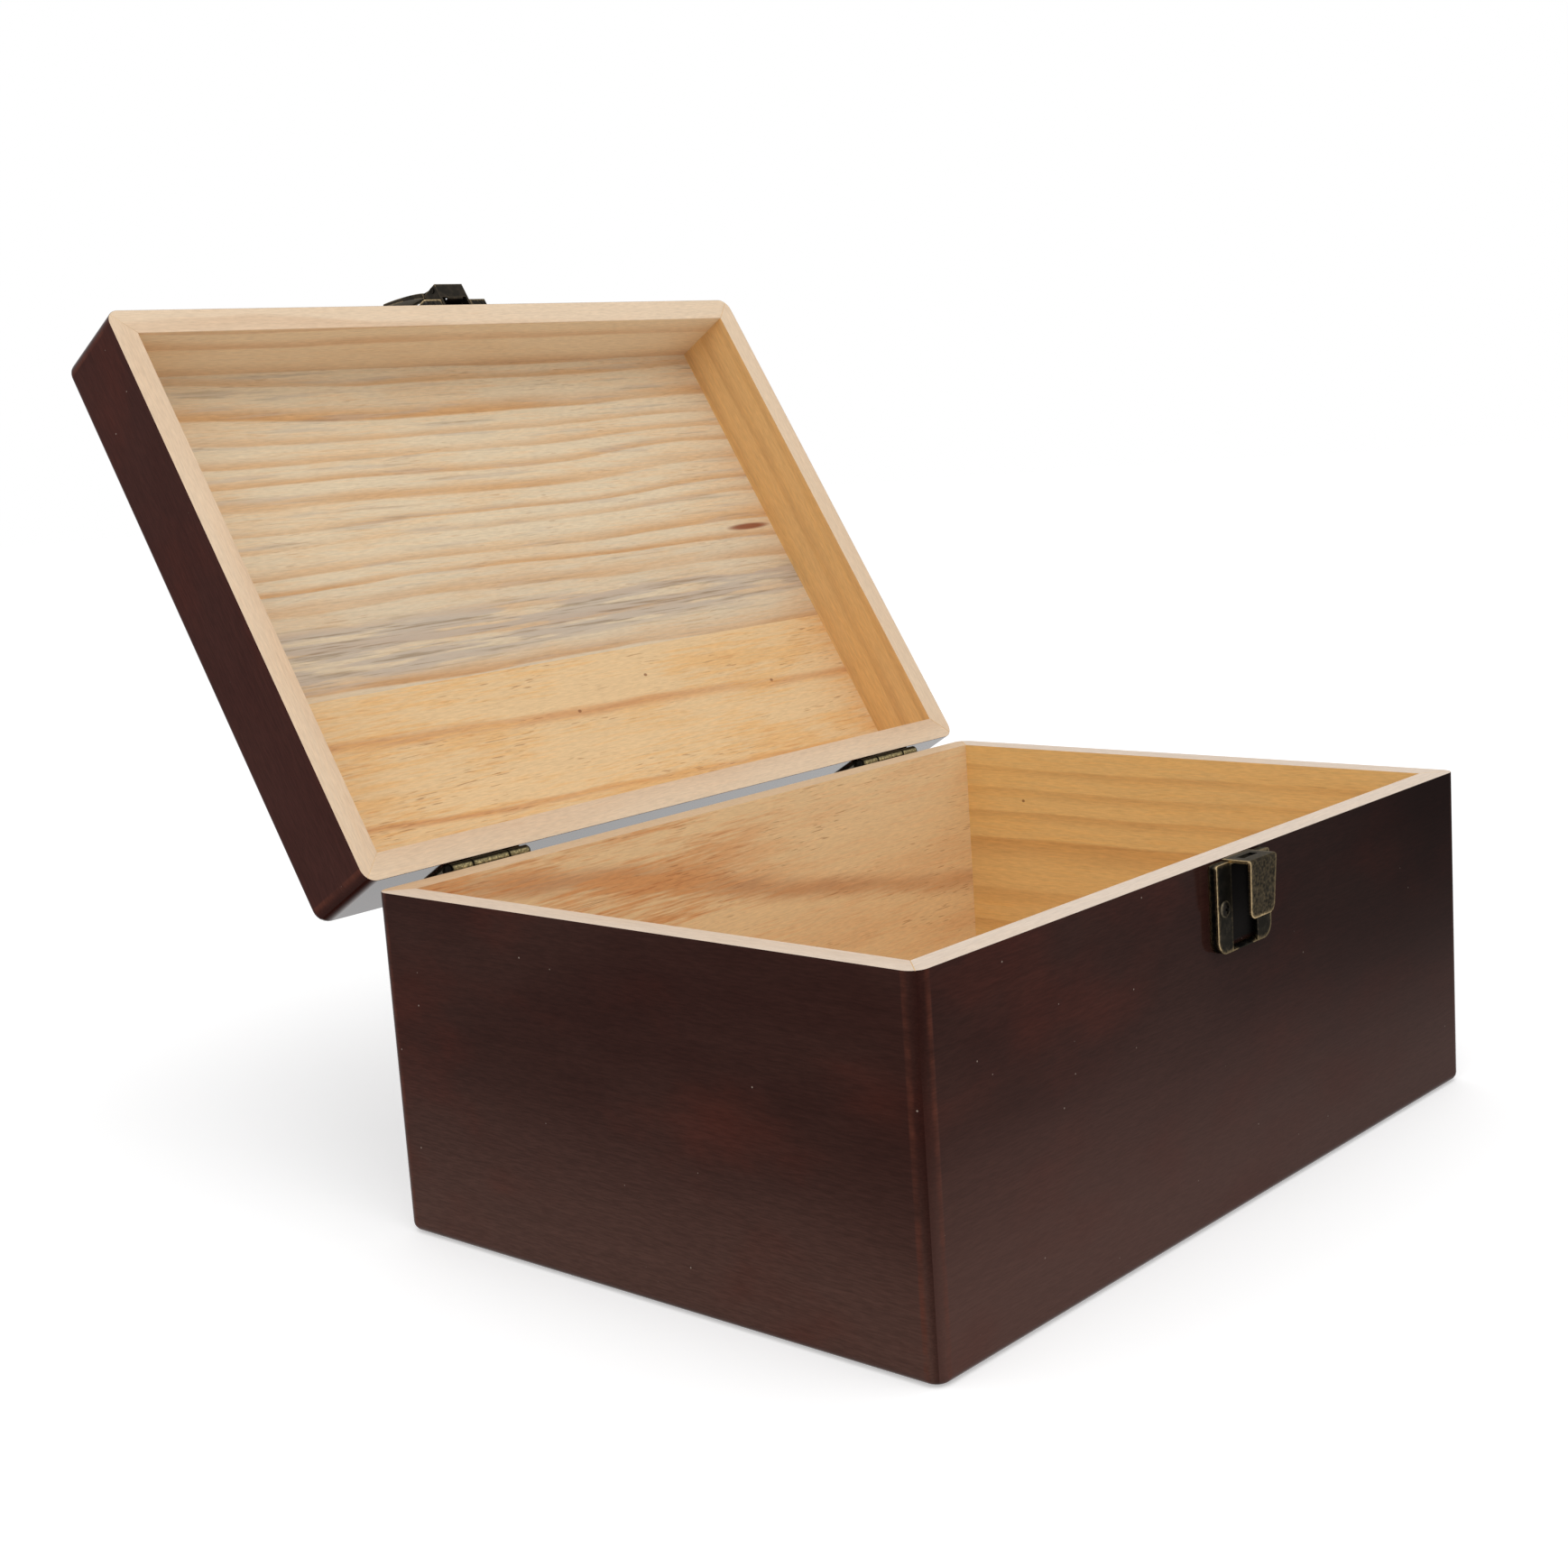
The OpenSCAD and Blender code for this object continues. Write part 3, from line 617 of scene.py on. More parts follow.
def new_finish(name, constants):
    """A material with its Principled shader's constant sockets set."""
    material = bpy.data.materials.new(name)
    material.use_nodes = True
    shader = material.node_tree.nodes["Principled BSDF"]
    for socket, value in constants.items():
        shader.inputs[socket].default_value = value
    return material, material.node_tree, shader


def use_group(tree, group, values):
    """The outputs of one use of a group with these inputs."""
    return add(tree, "ShaderNodeGroup", values, node_tree=group).outputs


def relief_on(tree, shader, height, depth):
    """Bump whose full height is depth, in mm."""
    bump = add(tree, "ShaderNodeBump", {
        "Height": height, "Strength": 1.0, "Distance": depth * MM})
    tree.links.new(bump.outputs[0], shader.inputs["Normal"])


print("outline of the box:", round(2000 * half_width), "by", round(2000 * half_depth), "mm")

# %% Bare pine
BARE_WOOD = {"Specular IOR Level": 0.25}
BARE_RELIEF = 0.04
ACROSS, UP = 1, 2
KNOT_BROWN = paint(128, 84, 48)
KNOT_STRENGTH = 0.8


def oval(tree, place, axis, along, aside, half_length, half_width):
    """1 in the middle of an oval mark on a face, 0 outside; aside is on the axis given."""
    axes = axes_of(tree, place)
    squares = []
    for value, centre, half in ((axes[0], along, half_length), (axes[axis], aside, half_width)):
        share = calc(tree, "DIVIDE", calc(tree, "SUBTRACT", value, centre), half)
        squares.append(times(tree, share, share))
    return fade(tree, calc(tree, "ADD", *squares), 0.15, 1.0, 1.0, 0.0)


def finish_bare(tree, shader, tone, height):
    """Unlacquered wood: its colour and relief, and a little shine on the hard late wood."""
    tree.links.new(tone, shader.inputs["Base Color"])
    tree.links.new(fade(tree, height, 0.2, 0.9, 0.62, 0.50), shader.inputs["Roughness"])
    relief_on(tree, shader, height, BARE_RELIEF)


def bare_pine(name, on_lid, runs_y, knots=(), **figure):
    """Bare pine; each knot is how far along and up it lies and its half length, in mm."""
    material, tree, shader = new_finish(name, BARE_WOOD)
    place = grain_place(tree, on_lid, runs_y)
    wood = use_group(tree, pine, {"Place": place, **figure})
    tone = wood["Color"]
    for along, up, half in knots:
        knot = oval(tree, place, UP, along, up, half, half * 0.8)
        tone = mixed(tree, times(tree, knot, KNOT_STRENGTH), tone, KNOT_BROWN)
    finish_bare(tree, shader, tone, wood["Height"])
    return material


print("bare pine: relief", BARE_RELIEF, "mm")

# %% Painted light and shade on the front
RIGHT_SHADE_FROM, RIGHT_SHADE_TO, RIGHT_SHADE_MOST = -130.0, 160.0, 0.66
FLOOR_LIGHT_UP_TO = 100.0
CATCH_MARGIN, CATCH_FADE = 1.0, 1.5
PAINTED_CATCH_SHADE, PAINTED_RIGHT_SHADE, PAINTED_FOOT_LIGHT = paint(34, 32, 31), paint(16, 11, 11), paint(92, 66, 60)


def shade_behind_catch(tree, axes):
    """1 on the wood seen through the catch plate, where painted shade blackens it."""
    low, high = (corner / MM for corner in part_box("catch_plate"))
    masks = []
    for axis, start, stop in ((0, low.x, high.x), (UP, low.z, high.z)):
        from_middle = calc(tree, "ABSOLUTE", calc(
            tree, "SUBTRACT", axes[axis], (start + stop) / 2))
        edge = (stop - start) / 2 - CATCH_MARGIN
        masks.append(fade(tree, from_middle, edge - CATCH_FADE, edge, 1.0, 0.0))
    return times(tree, *masks)


def front_light_and_shade(tree, shader, place, tone):
    """The front's tone: painted floor light low down, painted shade to the right and at the catch.
    """
    axes = axes_of(tree, place)
    # Painted light from the floor: the front grows paler towards its foot.
    tone = mixed(tree, fade(tree, axes[UP], FLOOR_LIGHT_UP_TO, 0.0, 0.0, 0.45), tone, PAINTED_FOOT_LIGHT)
    # Painted shade: darker and without coat towards the right end, more so higher up.
    right_shade = times(tree, fade(tree, axes[0], RIGHT_SHADE_FROM, RIGHT_SHADE_TO, 0.0, RIGHT_SHADE_MOST),
                  fade(tree, axes[UP], 0.0, 110.0, 0.45, 1.15))
    # Painted shade: the wood behind the catch plate is black and has no coat.
    black = shade_behind_catch(tree, axes)
    tree.links.new(calc(tree, "SUBTRACT", 1.0, calc(tree, "MAXIMUM", right_shade, black)),
                   shader.inputs["Coat Weight"])
    return mixed(tree, black, mixed(tree, right_shade, tone, PAINTED_RIGHT_SHADE), PAINTED_CATCH_SHADE)


# The printed span is where the painted shade on the front grows.
print("front: stain thickens from", RIGHT_SHADE_FROM, "to", RIGHT_SHADE_TO, "mm off the middle")

# %% Stained and lacquered pine
LACQUER = {
    "Specular IOR Level": 0.0, "Coat Weight": 1.0, "Coat Roughness": 0.10, "Coat IOR": 1.09}
GLOSSY_LACQUER = {**LACQUER, "Coat IOR": 1.8}
GLOSS_FROM, GLOSS_TO = 0.45, 0.75
LID_REDNESS = 0.3
STAIN_RELIEF = 0.02


def stained_pine(name, on_lid, runs_y, seed, lacquer=LACQUER):
    """Stained and lacquered pine; the lid's is a little redder than the base's."""
    material, tree, shader = new_finish(name, lacquer)
    halves = (half_depth, half_width) if runs_y else (half_width, half_depth)
    place = grain_place(tree, on_lid, runs_y)
    skin = use_group(tree, stain, {
        "Place": place, "Half Length": halves[0] / MM, "Half Depth": halves[1] / MM,
        "Redness": LID_REDNESS if on_lid else 0.0, "Seed": seed})
    tone = skin["Color"]
    if name == "base_front_stain":
        tone = front_light_and_shade(tree, shader, place, tone)
    if lacquer is GLOSSY_LACQUER:
        slant = add(tree, "ShaderNodeLayerWeight", {"Blend": 0.5}).outputs["Facing"]
        tree.links.new(fade(tree, slant, GLOSS_FROM, GLOSS_TO), shader.inputs["Coat Weight"])
    tree.links.new(tone, shader.inputs["Base Color"])
    tree.links.new(skin["Roughness"], shader.inputs["Roughness"])
    relief_on(tree, shader, skin["Height"], STAIN_RELIEF)
    return material


print("lacquer:", LACQUER)

# %% [markdown]
# ## The eight walls
# Each wall is one board, cut at 45 degrees at both ends. Three finishes meet on it: stain
# outside, honey-coloured pine inside, and a freshly sanded, paler rim.
# A face's finish follows from where its middle lies with the lid shut, measured from the
# outline of the box, a rectangle with round corners.

# %% Which finish a face gets
STAINED, INSIDE, RIM = 0, 1, 2
RIM_ROUND = 0.4
MITRE_GROOVE = 0.1
STAIN_TURNS_IN = 0.16 * MM
END_ROUND = 3.0 * MM
PANEL_LEDGE = 4.95 * MM


def from_outline(point):
    """How far a point is from the round-cornered outline, in metres; less than 0 inside."""
    corner = CORNER_ROUND * MM
    past_x = abs(point.x) - (half_width - corner)
    past_y = abs(point.y) - (half_depth - corner)
    return (math.hypot(max(past_x, 0), max(past_y, 0))
            + min(max(past_x, past_y), 0) - corner)


def from_mitre(point):
    """How far a point lies from the 45 degree line through its corner of the box."""
    return abs((half_width - abs(point.x)) - (half_depth - abs(point.y))) / math.sqrt(2)


def face_finish(middle, to_rim, to_end):
    """The finish of a wall's face; to_rim and to_end are its distances from both edges."""
    inward = -from_outline(middle)
    if inward < STAIN_TURNS_IN or (to_end < END_ROUND and inward < PANEL_LEDGE):
        return STAINED
    on_rim = to_rim < RIM_ROUND * MM and from_mitre(middle) > MITRE_GROOVE * MM
    return RIM if on_rim else INSIDE


behind_front = Vector((0.0, 1 * MM - half_depth, 0.0))
print("finish of a face 1 mm behind the front:", face_finish(behind_front, 20 * MM, 20 * MM))

# %% A wall with its three finishes
BOARD_EDGE = math.radians(50)


def dress_wall(node, body, finishes):
    """A softened copy of a wall with its three finishes."""
    to_shut = TO_SHUT[body]
    work = welded(node)
    heights = sorted((to_shut @ v.co).z for v in work.verts)
    rim_z, end_z = (heights[0], heights[-1]) if body == "lid" else (heights[-1], heights[0])

    def on_rim(edge):
        return all(abs((to_shut @ v.co).z - rim_z) < 2 * WELD for v in edge.verts)

    def along_mitre(edge):
        return all(from_mitre(to_shut @ v.co) < 3 * WELD for v in edge.verts)

    def sharp(edge):
        return edge.is_manifold and edge.calc_face_angle() > BOARD_EDGE

    mitre_edges = [e for e in work.edges if on_rim(e) and along_mitre(e) and sharp(e)]
    soften(work, mitre_edges, MITRE_GROOVE, steps=1)
    rim_edges = [e for e in work.edges if on_rim(e) and sharp(e)]
    soften(work, rim_edges, RIM_ROUND, steps=3)
    for face in work.faces:
        middle = to_shut @ face.calc_center_median()
        face.material_index = face_finish(
            middle, abs(middle.z - rim_z), abs(middle.z - end_z))
    piece = shown(work, node + "_wood", node, body, finishes)
    print(f"{node}: {len(rim_edges)} rim edges, {len(mitre_edges)} mitre edges,"
          f" {len(piece.data.polygons)} faces")


print("a wall's edge is rounded if it turns by more than", round(math.degrees(BOARD_EDGE)))

# %% [markdown]
# The pith of each board is given by how far it is and how much the cut leans from it.
# Every pith here is far off, below the board, so its rings cross the face as long lines.
# Most boards have close, plain ones. The back wall of the base has rings 60 mm wide that
# run out at a slant, and their dark lines fray into reddish strands.

# %% Figure of each wall
def wood_colours(pale, line, warm):
    """The three colour inputs of the pine group, from values of a colour chart."""
    return {"Pale": paint(*pale), "Line": paint(*line), "Warm": paint(*warm)}


def pith(side, up, distance, lean):
    """Pith of a board whose middle is at side, up, in mm, leaning in degrees from below."""
    tilt = math.radians(lean)
    return {
        "PithSide": side + distance * math.sin(tilt),
        "PithUp": up - distance * math.cos(tilt)}


HONEY = wood_colours(pale=(229, 192, 128), line=(198, 148, 88), warm=(232, 186, 112))
AMBER = wood_colours(pale=(222, 180, 122), line=(186, 138, 86), warm=(224, 176, 108))
TAN = wood_colours(pale=(236, 216, 184), line=(206, 160, 116), warm=(228, 200, 162))
FLAME = wood_colours(pale=(238, 212, 168), line=(176, 108, 62), warm=(216, 161, 108))
BASE_RIM = wood_colours(pale=(218, 200, 182), line=(205, 179, 152), warm=(214, 193, 170))
BACK_RIM = wood_colours(pale=(212, 183, 149), line=(194, 153, 114), warm=(208, 173, 136))
LID_RIM = wood_colours(pale=(227, 203, 174), line=(204, 166, 130), warm=(220, 190, 157))
print("a pith 300 mm off, leaning 15 degrees:", pith(side=0, up=0, distance=300, lean=15))

# %% Each wall with its figure and its finishes
PLAIN_FIGURE = dict(
    Slope=0.0, Lines=0.8, Ripple=1.5, Start=0.38, Paling=0.0, Fray=0.0, Warmth=0.35,
    Pores=0.15)
SANDED_RIM = dict(Warmth=0.3, Pores=0.0)
PIN_KNOT_RIGHT_WALL = (70.3, 88.7, 0.9)


def board(node, colours, rim, runs_y, lean, far, lacquer=LACQUER, knots=(), **figure):
    """Dresses a wall whose pith is far mm off, leaning by lean degrees."""
    body = node.split("_")[0]
    on_lid = body == "lid"
    low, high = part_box(node)
    middle = TO_SHUT[body] @ ((low + high) / 2) / MM
    side = -middle.x if runs_y else middle.y
    figure = {**PLAIN_FIGURE, **figure, **pith(side, middle.z, far, lean)}
    kind = node.replace("_wall", "")
    dress_wall(node, body, [
        stained_pine(kind + "_stain", on_lid, runs_y, figure["Seed"], lacquer),
        bare_pine(kind + "_pine", on_lid, runs_y, knots, **{**colours, **figure}),
        bare_pine(kind + "_rim", on_lid, runs_y, **{**rim, **figure, **SANDED_RIM}),
    ])


board("base_front_wall", HONEY, BASE_RIM, runs_y=False, lean=15, far=300,
      Spacing=10, Wander=9, Seed=1.0)
board("base_right_wall", HONEY, BASE_RIM, runs_y=True, lean=12, far=300,
      Spacing=13, Wander=10, Seed=2.0, knots=[PIN_KNOT_RIGHT_WALL])
board("base_back_wall", FLAME, BACK_RIM, runs_y=False, lean=0, far=328,
      Spacing=60, Wander=20, Seed=47.0, Slope=0.20, Lines=1.0, Ripple=5.0, Start=0.80,
      Paling=0.70, Fray=9.0, Warmth=0.90, Pores=0.5)
board("base_left_wall", HONEY, BASE_RIM, runs_y=True, lean=20, far=260,
      Spacing=9, Wander=8, Seed=4.0)
board("lid_front_wall", TAN, LID_RIM, runs_y=False, lean=16, far=300,
      Spacing=12, Wander=8, Seed=5.0)
board("lid_right_wall", AMBER, LID_RIM, runs_y=True, lean=10, far=320,
      Spacing=11, Wander=6, Seed=6.0, Lines=0.6)
board("lid_back_wall", TAN, LID_RIM, runs_y=False, lean=22, far=280,
      Spacing=9, Wander=7, Seed=7.0, lacquer=GLOSSY_LACQUER)
board("lid_left_wall", HONEY, LID_RIM, runs_y=True, lean=14, far=300,
      Spacing=10, Wander=7, Seed=8.0)

# %% [markdown]
# ## The lid panel
# The panel is glued up from two boards, and both are easy to tell apart. The wide one has
# close, wavy lines and grey-blue sapwood stain near the joint. The narrow one by the
# hinges is yellower, with few lines and many pores.
# Two uses of the pine group are mixed by a step across the joint. The grey is a second
# mix, from long noise that is strong in a band by the joint and thin elsewhere. A small
# reddish streak of resin sits near the right end, and three pin knots beyond the joint.

# %% Panel figure
PANEL_JOINT = 32.6
WIDE_BOARD = dict(
    **wood_colours(pale=(222, 203, 172), line=(200, 148, 92), warm=(222, 180, 130)),
    Spacing=8.7, Wander=16.0, Ripple=1.6, Lines=1.0, Warmth=0.35, Pores=0.3, Seed=11.0)
NARROW_BOARD = dict(
    **wood_colours(pale=(228, 196, 150), line=(192, 120, 56), warm=(224, 174, 108)),
    Spacing=35.0, Wander=9.0, Ripple=2.4, Lines=1.0, Warmth=0.6, Pores=0.55, Seed=12.0,
    Fray=2.2, Slope=-0.03, Start=0.84)
WIDE_PITH_SIDE, WIDE_PITH_DROP = -420.0, 60
NARROW_PITH_SIDE, NARROW_PITH_DROP = -300.0, 40

panel_low, panel_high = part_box("lid_panel")
panel_middle = SHUT @ ((panel_low + panel_high) / 2) / MM

panel_pine, tree, shader = new_finish("lid_panel_pine", BARE_WOOD)
place = grain_place(tree, on_lid=True, runs_y=False)
wide = use_group(tree, pine, {
    "Place": place, **WIDE_BOARD,
    "PithSide": WIDE_PITH_SIDE, "PithUp": panel_middle.z - WIDE_PITH_DROP})
narrow = use_group(tree, pine, {
    "Place": place, **NARROW_BOARD,
    "PithSide": NARROW_PITH_SIDE, "PithUp": panel_middle.z - NARROW_PITH_DROP})
axes = axes_of(tree, place)
past_joint = calc(tree, "SUBTRACT", axes[ACROSS], PANEL_JOINT)
height = mixed(tree, fade(tree, past_joint, -0.1, 0.1), wide["Height"], narrow["Height"])
print("panel joint at", PANEL_JOINT, "mm behind the middle")

# %% Grey sapwood, resin and pin knots
BAND_STARTS, BAND_ENDS, BAND_SLANT = (2.0, 9.0), (22.0, 28.0), 0.040
VEIL_FADES_IN, VEIL_STRENGTH = (-22.0, 2.0), 0.20
SAP_GREY, SAP_THREAD = paint(184, 170, 156), paint(140, 122, 102)
RESIN = dict(along=127.0, aside=-12.3, half_length=15.0, half_width=1.8)
RESIN_RED = paint(134, 64, 32)
PIN_KNOTS = [(-8.4, 54.0), (31.4, 44.7), (95.6, 57.0)]
PIN_KNOT_SIZE = dict(half_length=1.1, half_width=0.8)
PIN_KNOT_BROWN = paint(132, 84, 50)

slanting = calc(tree, "MULTIPLY_ADD", axes[0], BAND_SLANT, axes[ACROSS])
grey_band = times(tree, fade(tree, axes[ACROSS], *BAND_STARTS),
                  fade(tree, slanting, *BAND_ENDS, 1.0, 0.0))
grey_noise = grain_noise(tree, place, 42, 2.6, 21.0, 4.0)
strong_grey = times(tree, fade(tree, grey_noise, 0.36, 0.50), grey_band)
thin_grey = times(tree, fade(tree, grey_noise, 0.54, 0.66), 0.5)
veil = times(tree, fade(tree, axes[ACROSS], *VEIL_FADES_IN), VEIL_STRENGTH)
grey = calc(tree, "MAXIMUM", calc(tree, "MAXIMUM", thin_grey, veil), strong_grey)
dark_threads = fade(tree, grain_noise(tree, place, 30, 0.9, 23.0, 3.0), 0.50, 0.64)
grey_tone = mixed(tree, dark_threads, SAP_GREY, SAP_THREAD)
wide_tone = mixed(tree, times(tree, grey, 0.75), wide["Color"], grey_tone)
tone = mixed(tree, fade(tree, past_joint, -0.15, 0.15), wide_tone, narrow["Color"])

tone = mixed(tree, times(tree, oval(tree, place, ACROSS, **RESIN), 0.9), tone, RESIN_RED)
for along, aside in PIN_KNOTS:
    knot = oval(tree, place, ACROSS, along, aside, **PIN_KNOT_SIZE)
    tone = mixed(tree, times(tree, knot, KNOT_STRENGTH), tone, PIN_KNOT_BROWN)
finish_bare(tree, shader, tone, height)
print("panel finish:", len(tree.nodes), "nodes")

# %% Lid panel and bottom panel
panel = welded("lid_panel")
top_z = max((SHUT @ v.co).z for v in panel.verts)
for face in panel.faces:
    face.material_index = int((SHUT @ face.calc_center_median()).z < top_z - 0.1 * MM)
lid_top_stain = stained_pine("lid_top_stain", on_lid=True, runs_y=False, seed=9.0)
shown(panel, "lid_panel_wood", "lid_panel", "lid", [lid_top_stain, panel_pine])

bottom_pine = bare_pine(
    "bottom_pine", on_lid=False, runs_y=False,
    Spacing=16.0, Wander=14.0, Seed=14.0, Warmth=0.5,
    **wood_colours(pale=(226, 192, 142), line=(194, 140, 86), warm=(220, 170, 112)),
    **pith(side=0.0, up=2.5, distance=80.0, lean=5.0))
for slot in frame["nodes"]["bottom_panel"].material_slots:
    slot.material = bottom_pine
print("bottom panel keeps its packed mesh")

# %% [markdown]
# ## Antique bronze
# The hardware is thin steel plated with brass, then blackened, and rubbed so that bright
# metal shows along the edges. The shader's own pointiness would light every outer edge
# alike. Here each vertex stores in an attribute, wear_and_painted_light, how much it is
# rubbed, together with a painted highlight on the hinge knuckles and painted shade on some
# latch edges, and the material lets noise eat into it so that the bright line comes and goes.

# %% Bronze finish
CLOUD_SIZE, GRIT_SIZE, NIBBLE_SIZE = 2.6, 0.35, 0.9
METAL_RELIEF = 0.012
GLANCING_TINT = paint(204, 199, 191)


def bronze(name, dark, brown, bright, halo=1.0):
    """Blackened brass: dark and brown patina, bright where wear_and_painted_light is high."""
    material, tree, shader = new_finish(
        name, {"Metallic": 1.0, "Specular Tint": GLANCING_TINT})
    place = grain_place(tree, on_lid=False, runs_y=False)
    cloud = grain_noise(tree, place, CLOUD_SIZE, CLOUD_SIZE, 1.0, 4.0)
    grit = grain_noise(tree, place, GRIT_SIZE, GRIT_SIZE, 2.0)
    nibbles = grain_noise(tree, place, NIBBLE_SIZE, NIBBLE_SIZE, 3.0, 3.0)
    patina = mixed(tree, times(tree, fade(tree, cloud, 0.40, 0.75), 0.8), dark, brown)
    # The attribute holds rubbed edges, a painted highlight on the hinge knuckles and painted shade
    # on right and foot edges of latch pieces.
    shiny = add(tree, "ShaderNodeAttribute", attribute_name="wear_and_painted_light").outputs["Fac"]
    nibbled = calc(tree, "MULTIPLY_ADD", calc(tree, "SUBTRACT", nibbles, 0.5), 0.8, shiny)
    soft_rub = times(tree, fade(tree, nibbled, 0.05, 0.75), 0.40 * halo)
    hard_rub = fade(tree, nibbled, 0.55, 0.82)
    on_flat = times(tree, fade(tree, grit, 0.62, 0.80), 0.10)
    rubbed = calc(tree, "MAXIMUM", calc(tree, "MAXIMUM", soft_rub, hard_rub), on_flat)
    tree.links.new(mixed(tree, rubbed, patina, bright), shader.inputs["Base Color"])
    tree.links.new(fade(tree, rubbed, 0.0, 1.0, 0.42, 0.28), shader.inputs["Roughness"])
    relief_on(tree, shader, calc(tree, "MULTIPLY_ADD", cloud, 2.0, grit), METAL_RELIEF)
    return material


latch_bronze = bronze("latch_bronze", paint(26, 27, 28), paint(50, 47, 43), paint(184, 161, 122))
lever_bronze = bronze("lever_bronze", paint(43, 41, 38), paint(66, 59, 51), paint(112, 98, 77), 0.5)
hinge_bronze = bronze("hinge_bronze", paint(25, 22, 18), paint(52, 46, 35), paint(182, 165, 120))
screw_bronze = bronze("screw_bronze", paint(33, 31, 29), paint(60, 55, 47), paint(138, 126, 104))
print("bronze finish:", len(latch_bronze.node_tree.nodes), "nodes")

# %% [markdown]
# ## Latch and hinge pieces
# Stamped sheet has a small round on each edge, and hands and cloths rub the outer edges
# bright. A copy of each piece is welded and its sharp edges are bevelled. Its faces are
# then cut small, so that every vertex can store how close it lies to an edge that stands
# out. Edges in a hollow stay black, as they do on the real plates, and so does the slot
# for the claw. The edges of the right half and the foot of a latch piece get painted shade,
# so less bright metal shows there. The front of each hinge knuckle gets a painted highlight.

# %% Small facets that store wear
FACET = 0.9


def split_small(work, longest):
    """Cuts faces until no edge is longer than this, in mm."""
    for _ in range(8):
        bmesh.ops.triangulate(work, faces=work.faces)
        long_edges = [e for e in work.edges if e.calc_length() > longest * MM]
        if not long_edges:
            break
        bmesh.ops.subdivide_edges(work, edges=long_edges, cuts=1)
    bmesh.ops.triangulate(work, faces=work.faces)


def points_on(edges, step):
    """Points every step mm along these edges."""
    found = []
    for edge in edges:
        start, end = (v.co.copy() for v in edge.verts)
        count = max(1, math.ceil((end - start).length / (step * MM)))
        found += [start.lerp(end, i / count) for i in range(count + 1)]
    return found


def mark_brightness(work, rubbed_points, reach, strength):
    """Stores the brightness of the nearest edge, from wear and painted light, changing to the
    face's own at reach mm from it.
    """
    tree = KDTree(len(rubbed_points))
    for index, point in enumerate(rubbed_points):
        tree.insert(point, index)
    tree.balance()
    wear = work.verts.layers.float.new("wear_and_painted_light")
    for vertex in work.verts:
        nearest, _, away = tree.find(vertex.co)
        by_edge, _ = strength(nearest)
        _, on_face = strength(vertex.co)
        near = max(0.0, 1.0 - away / MM / reach)
        vertex[wear] = by_edge * near + on_face * (1 - near)


print("facets of sheet metal: at most", FACET, "mm")

# %% How much each place is rubbed
RUBBED_RIM, RUBBED_FRONT = 1.6, 1.0
FRONT_WEAR, RIM_WEAR, INNER_WEAR = 0.20, 0.10, 0.3
# Painted shade dims edges by this share to the right and at the foot, in full from this many mm off
# the middle.
EDGE_SHADE_SHARE, EDGE_SHADE_WITHIN = 0.38, 7
SLOT_HALF_WIDTH, SLOT_MARGIN = 4.0, 0.1
SLOT_FROM_TAB = (4.2, 6.7)
# A knuckle gets a painted highlight where its surface faces forward by more than this share.
KNUCKLE_FROM, KNUCKLE_FADE = 0.60, 0.22
KNUCKLE_RADIUS, KNUCKLE_HIGHLIGHT = 2.1, 0.68


def clamped(value):
    """The value, held between 0 and 1."""
    return min(1.0, max(0.0, value))


def corners(points):
    """Lowest and highest corner of the box round these points."""
    return Vector(map(min, zip(*points))), Vector(map(max, zip(*points)))


def rubbed_and_shaded(work, to_shut):
    """How much hands rub an edge at a point and a face there; painted shade dims right and foot
    edges.
    """
    low, high = corners([to_shut @ v.co for v in work.verts])
    middle = (low.x + high.x) / 2

    def strength(point):
        p = to_shut @ point
        from_sides = min(p.x - low.x, high.x - p.x, p.z - low.z, high.z - p.z)
        in_front = p.y - low.y < RUBBED_FRONT * MM
        outside = from_sides < RUBBED_RIM * MM
        to_right = clamped((p.x - middle) / MM / EDGE_SHADE_WITHIN)
        at_foot = p.z - low.z < RUBBED_RIM * MM and not in_front
        # Painted shade: edges on the right half and at the foot show less bright metal.
        unshaded = 1 - EDGE_SHADE_SHARE * max(to_right, at_foot)
        by_edge = (1.0 if outside or in_front else INNER_WEAR) * unshaded
        return by_edge, (FRONT_WEAR if in_front else RIM_WEAR if outside else 0.0)
    return strength


def rubbed_and_shaded_beside_slot(work, to_shut):
    """As rubbed_and_shaded, but the edges of the slot for the claw stay black."""
    reached = rubbed_and_shaded(work, to_shut)
    low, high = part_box("catch_plate")
    middle = (low.x + high.x) / 2
    slot_start, slot_end = SLOT_FROM_TAB

    def strength(point):
        by_edge, on_face = reached(point)
        behind_tab = (point.y - low.y) / MM
        in_slot = (abs(point.x - middle) < (SLOT_HALF_WIDTH + SLOT_MARGIN) * MM
                   and slot_start - SLOT_MARGIN < behind_tab < slot_end + SLOT_MARGIN)
        return (0.0 if in_slot else by_edge), on_face
    return strength


def painted_knuckle_highlight(work, to_shut):
    """A test for a hinge leaf: a painted highlight on the front of its knuckles; the rest stays
    dark.
    """
    def strength(point):
        from_pin = Vector((0, point.y - hinge_point.y, point.z - hinge_point.z))
        to_front = -from_pin.y / max(from_pin.length, WELD)
        share = clamped((to_front - KNUCKLE_FROM) / KNUCKLE_FADE)
        on_knuckle = from_pin.length < KNUCKLE_RADIUS * MM
        return 0.0, (KNUCKLE_HIGHLIGHT * share if on_knuckle else 0.0)
    return strength


print("tests of wear: rubbed_and_shaded, rubbed_and_shaded_beside_slot, painted_knuckle_highlight")

# %% Dress the hardware
SHEET_EDGE = math.radians(34)
WEAR_STEP = 0.2


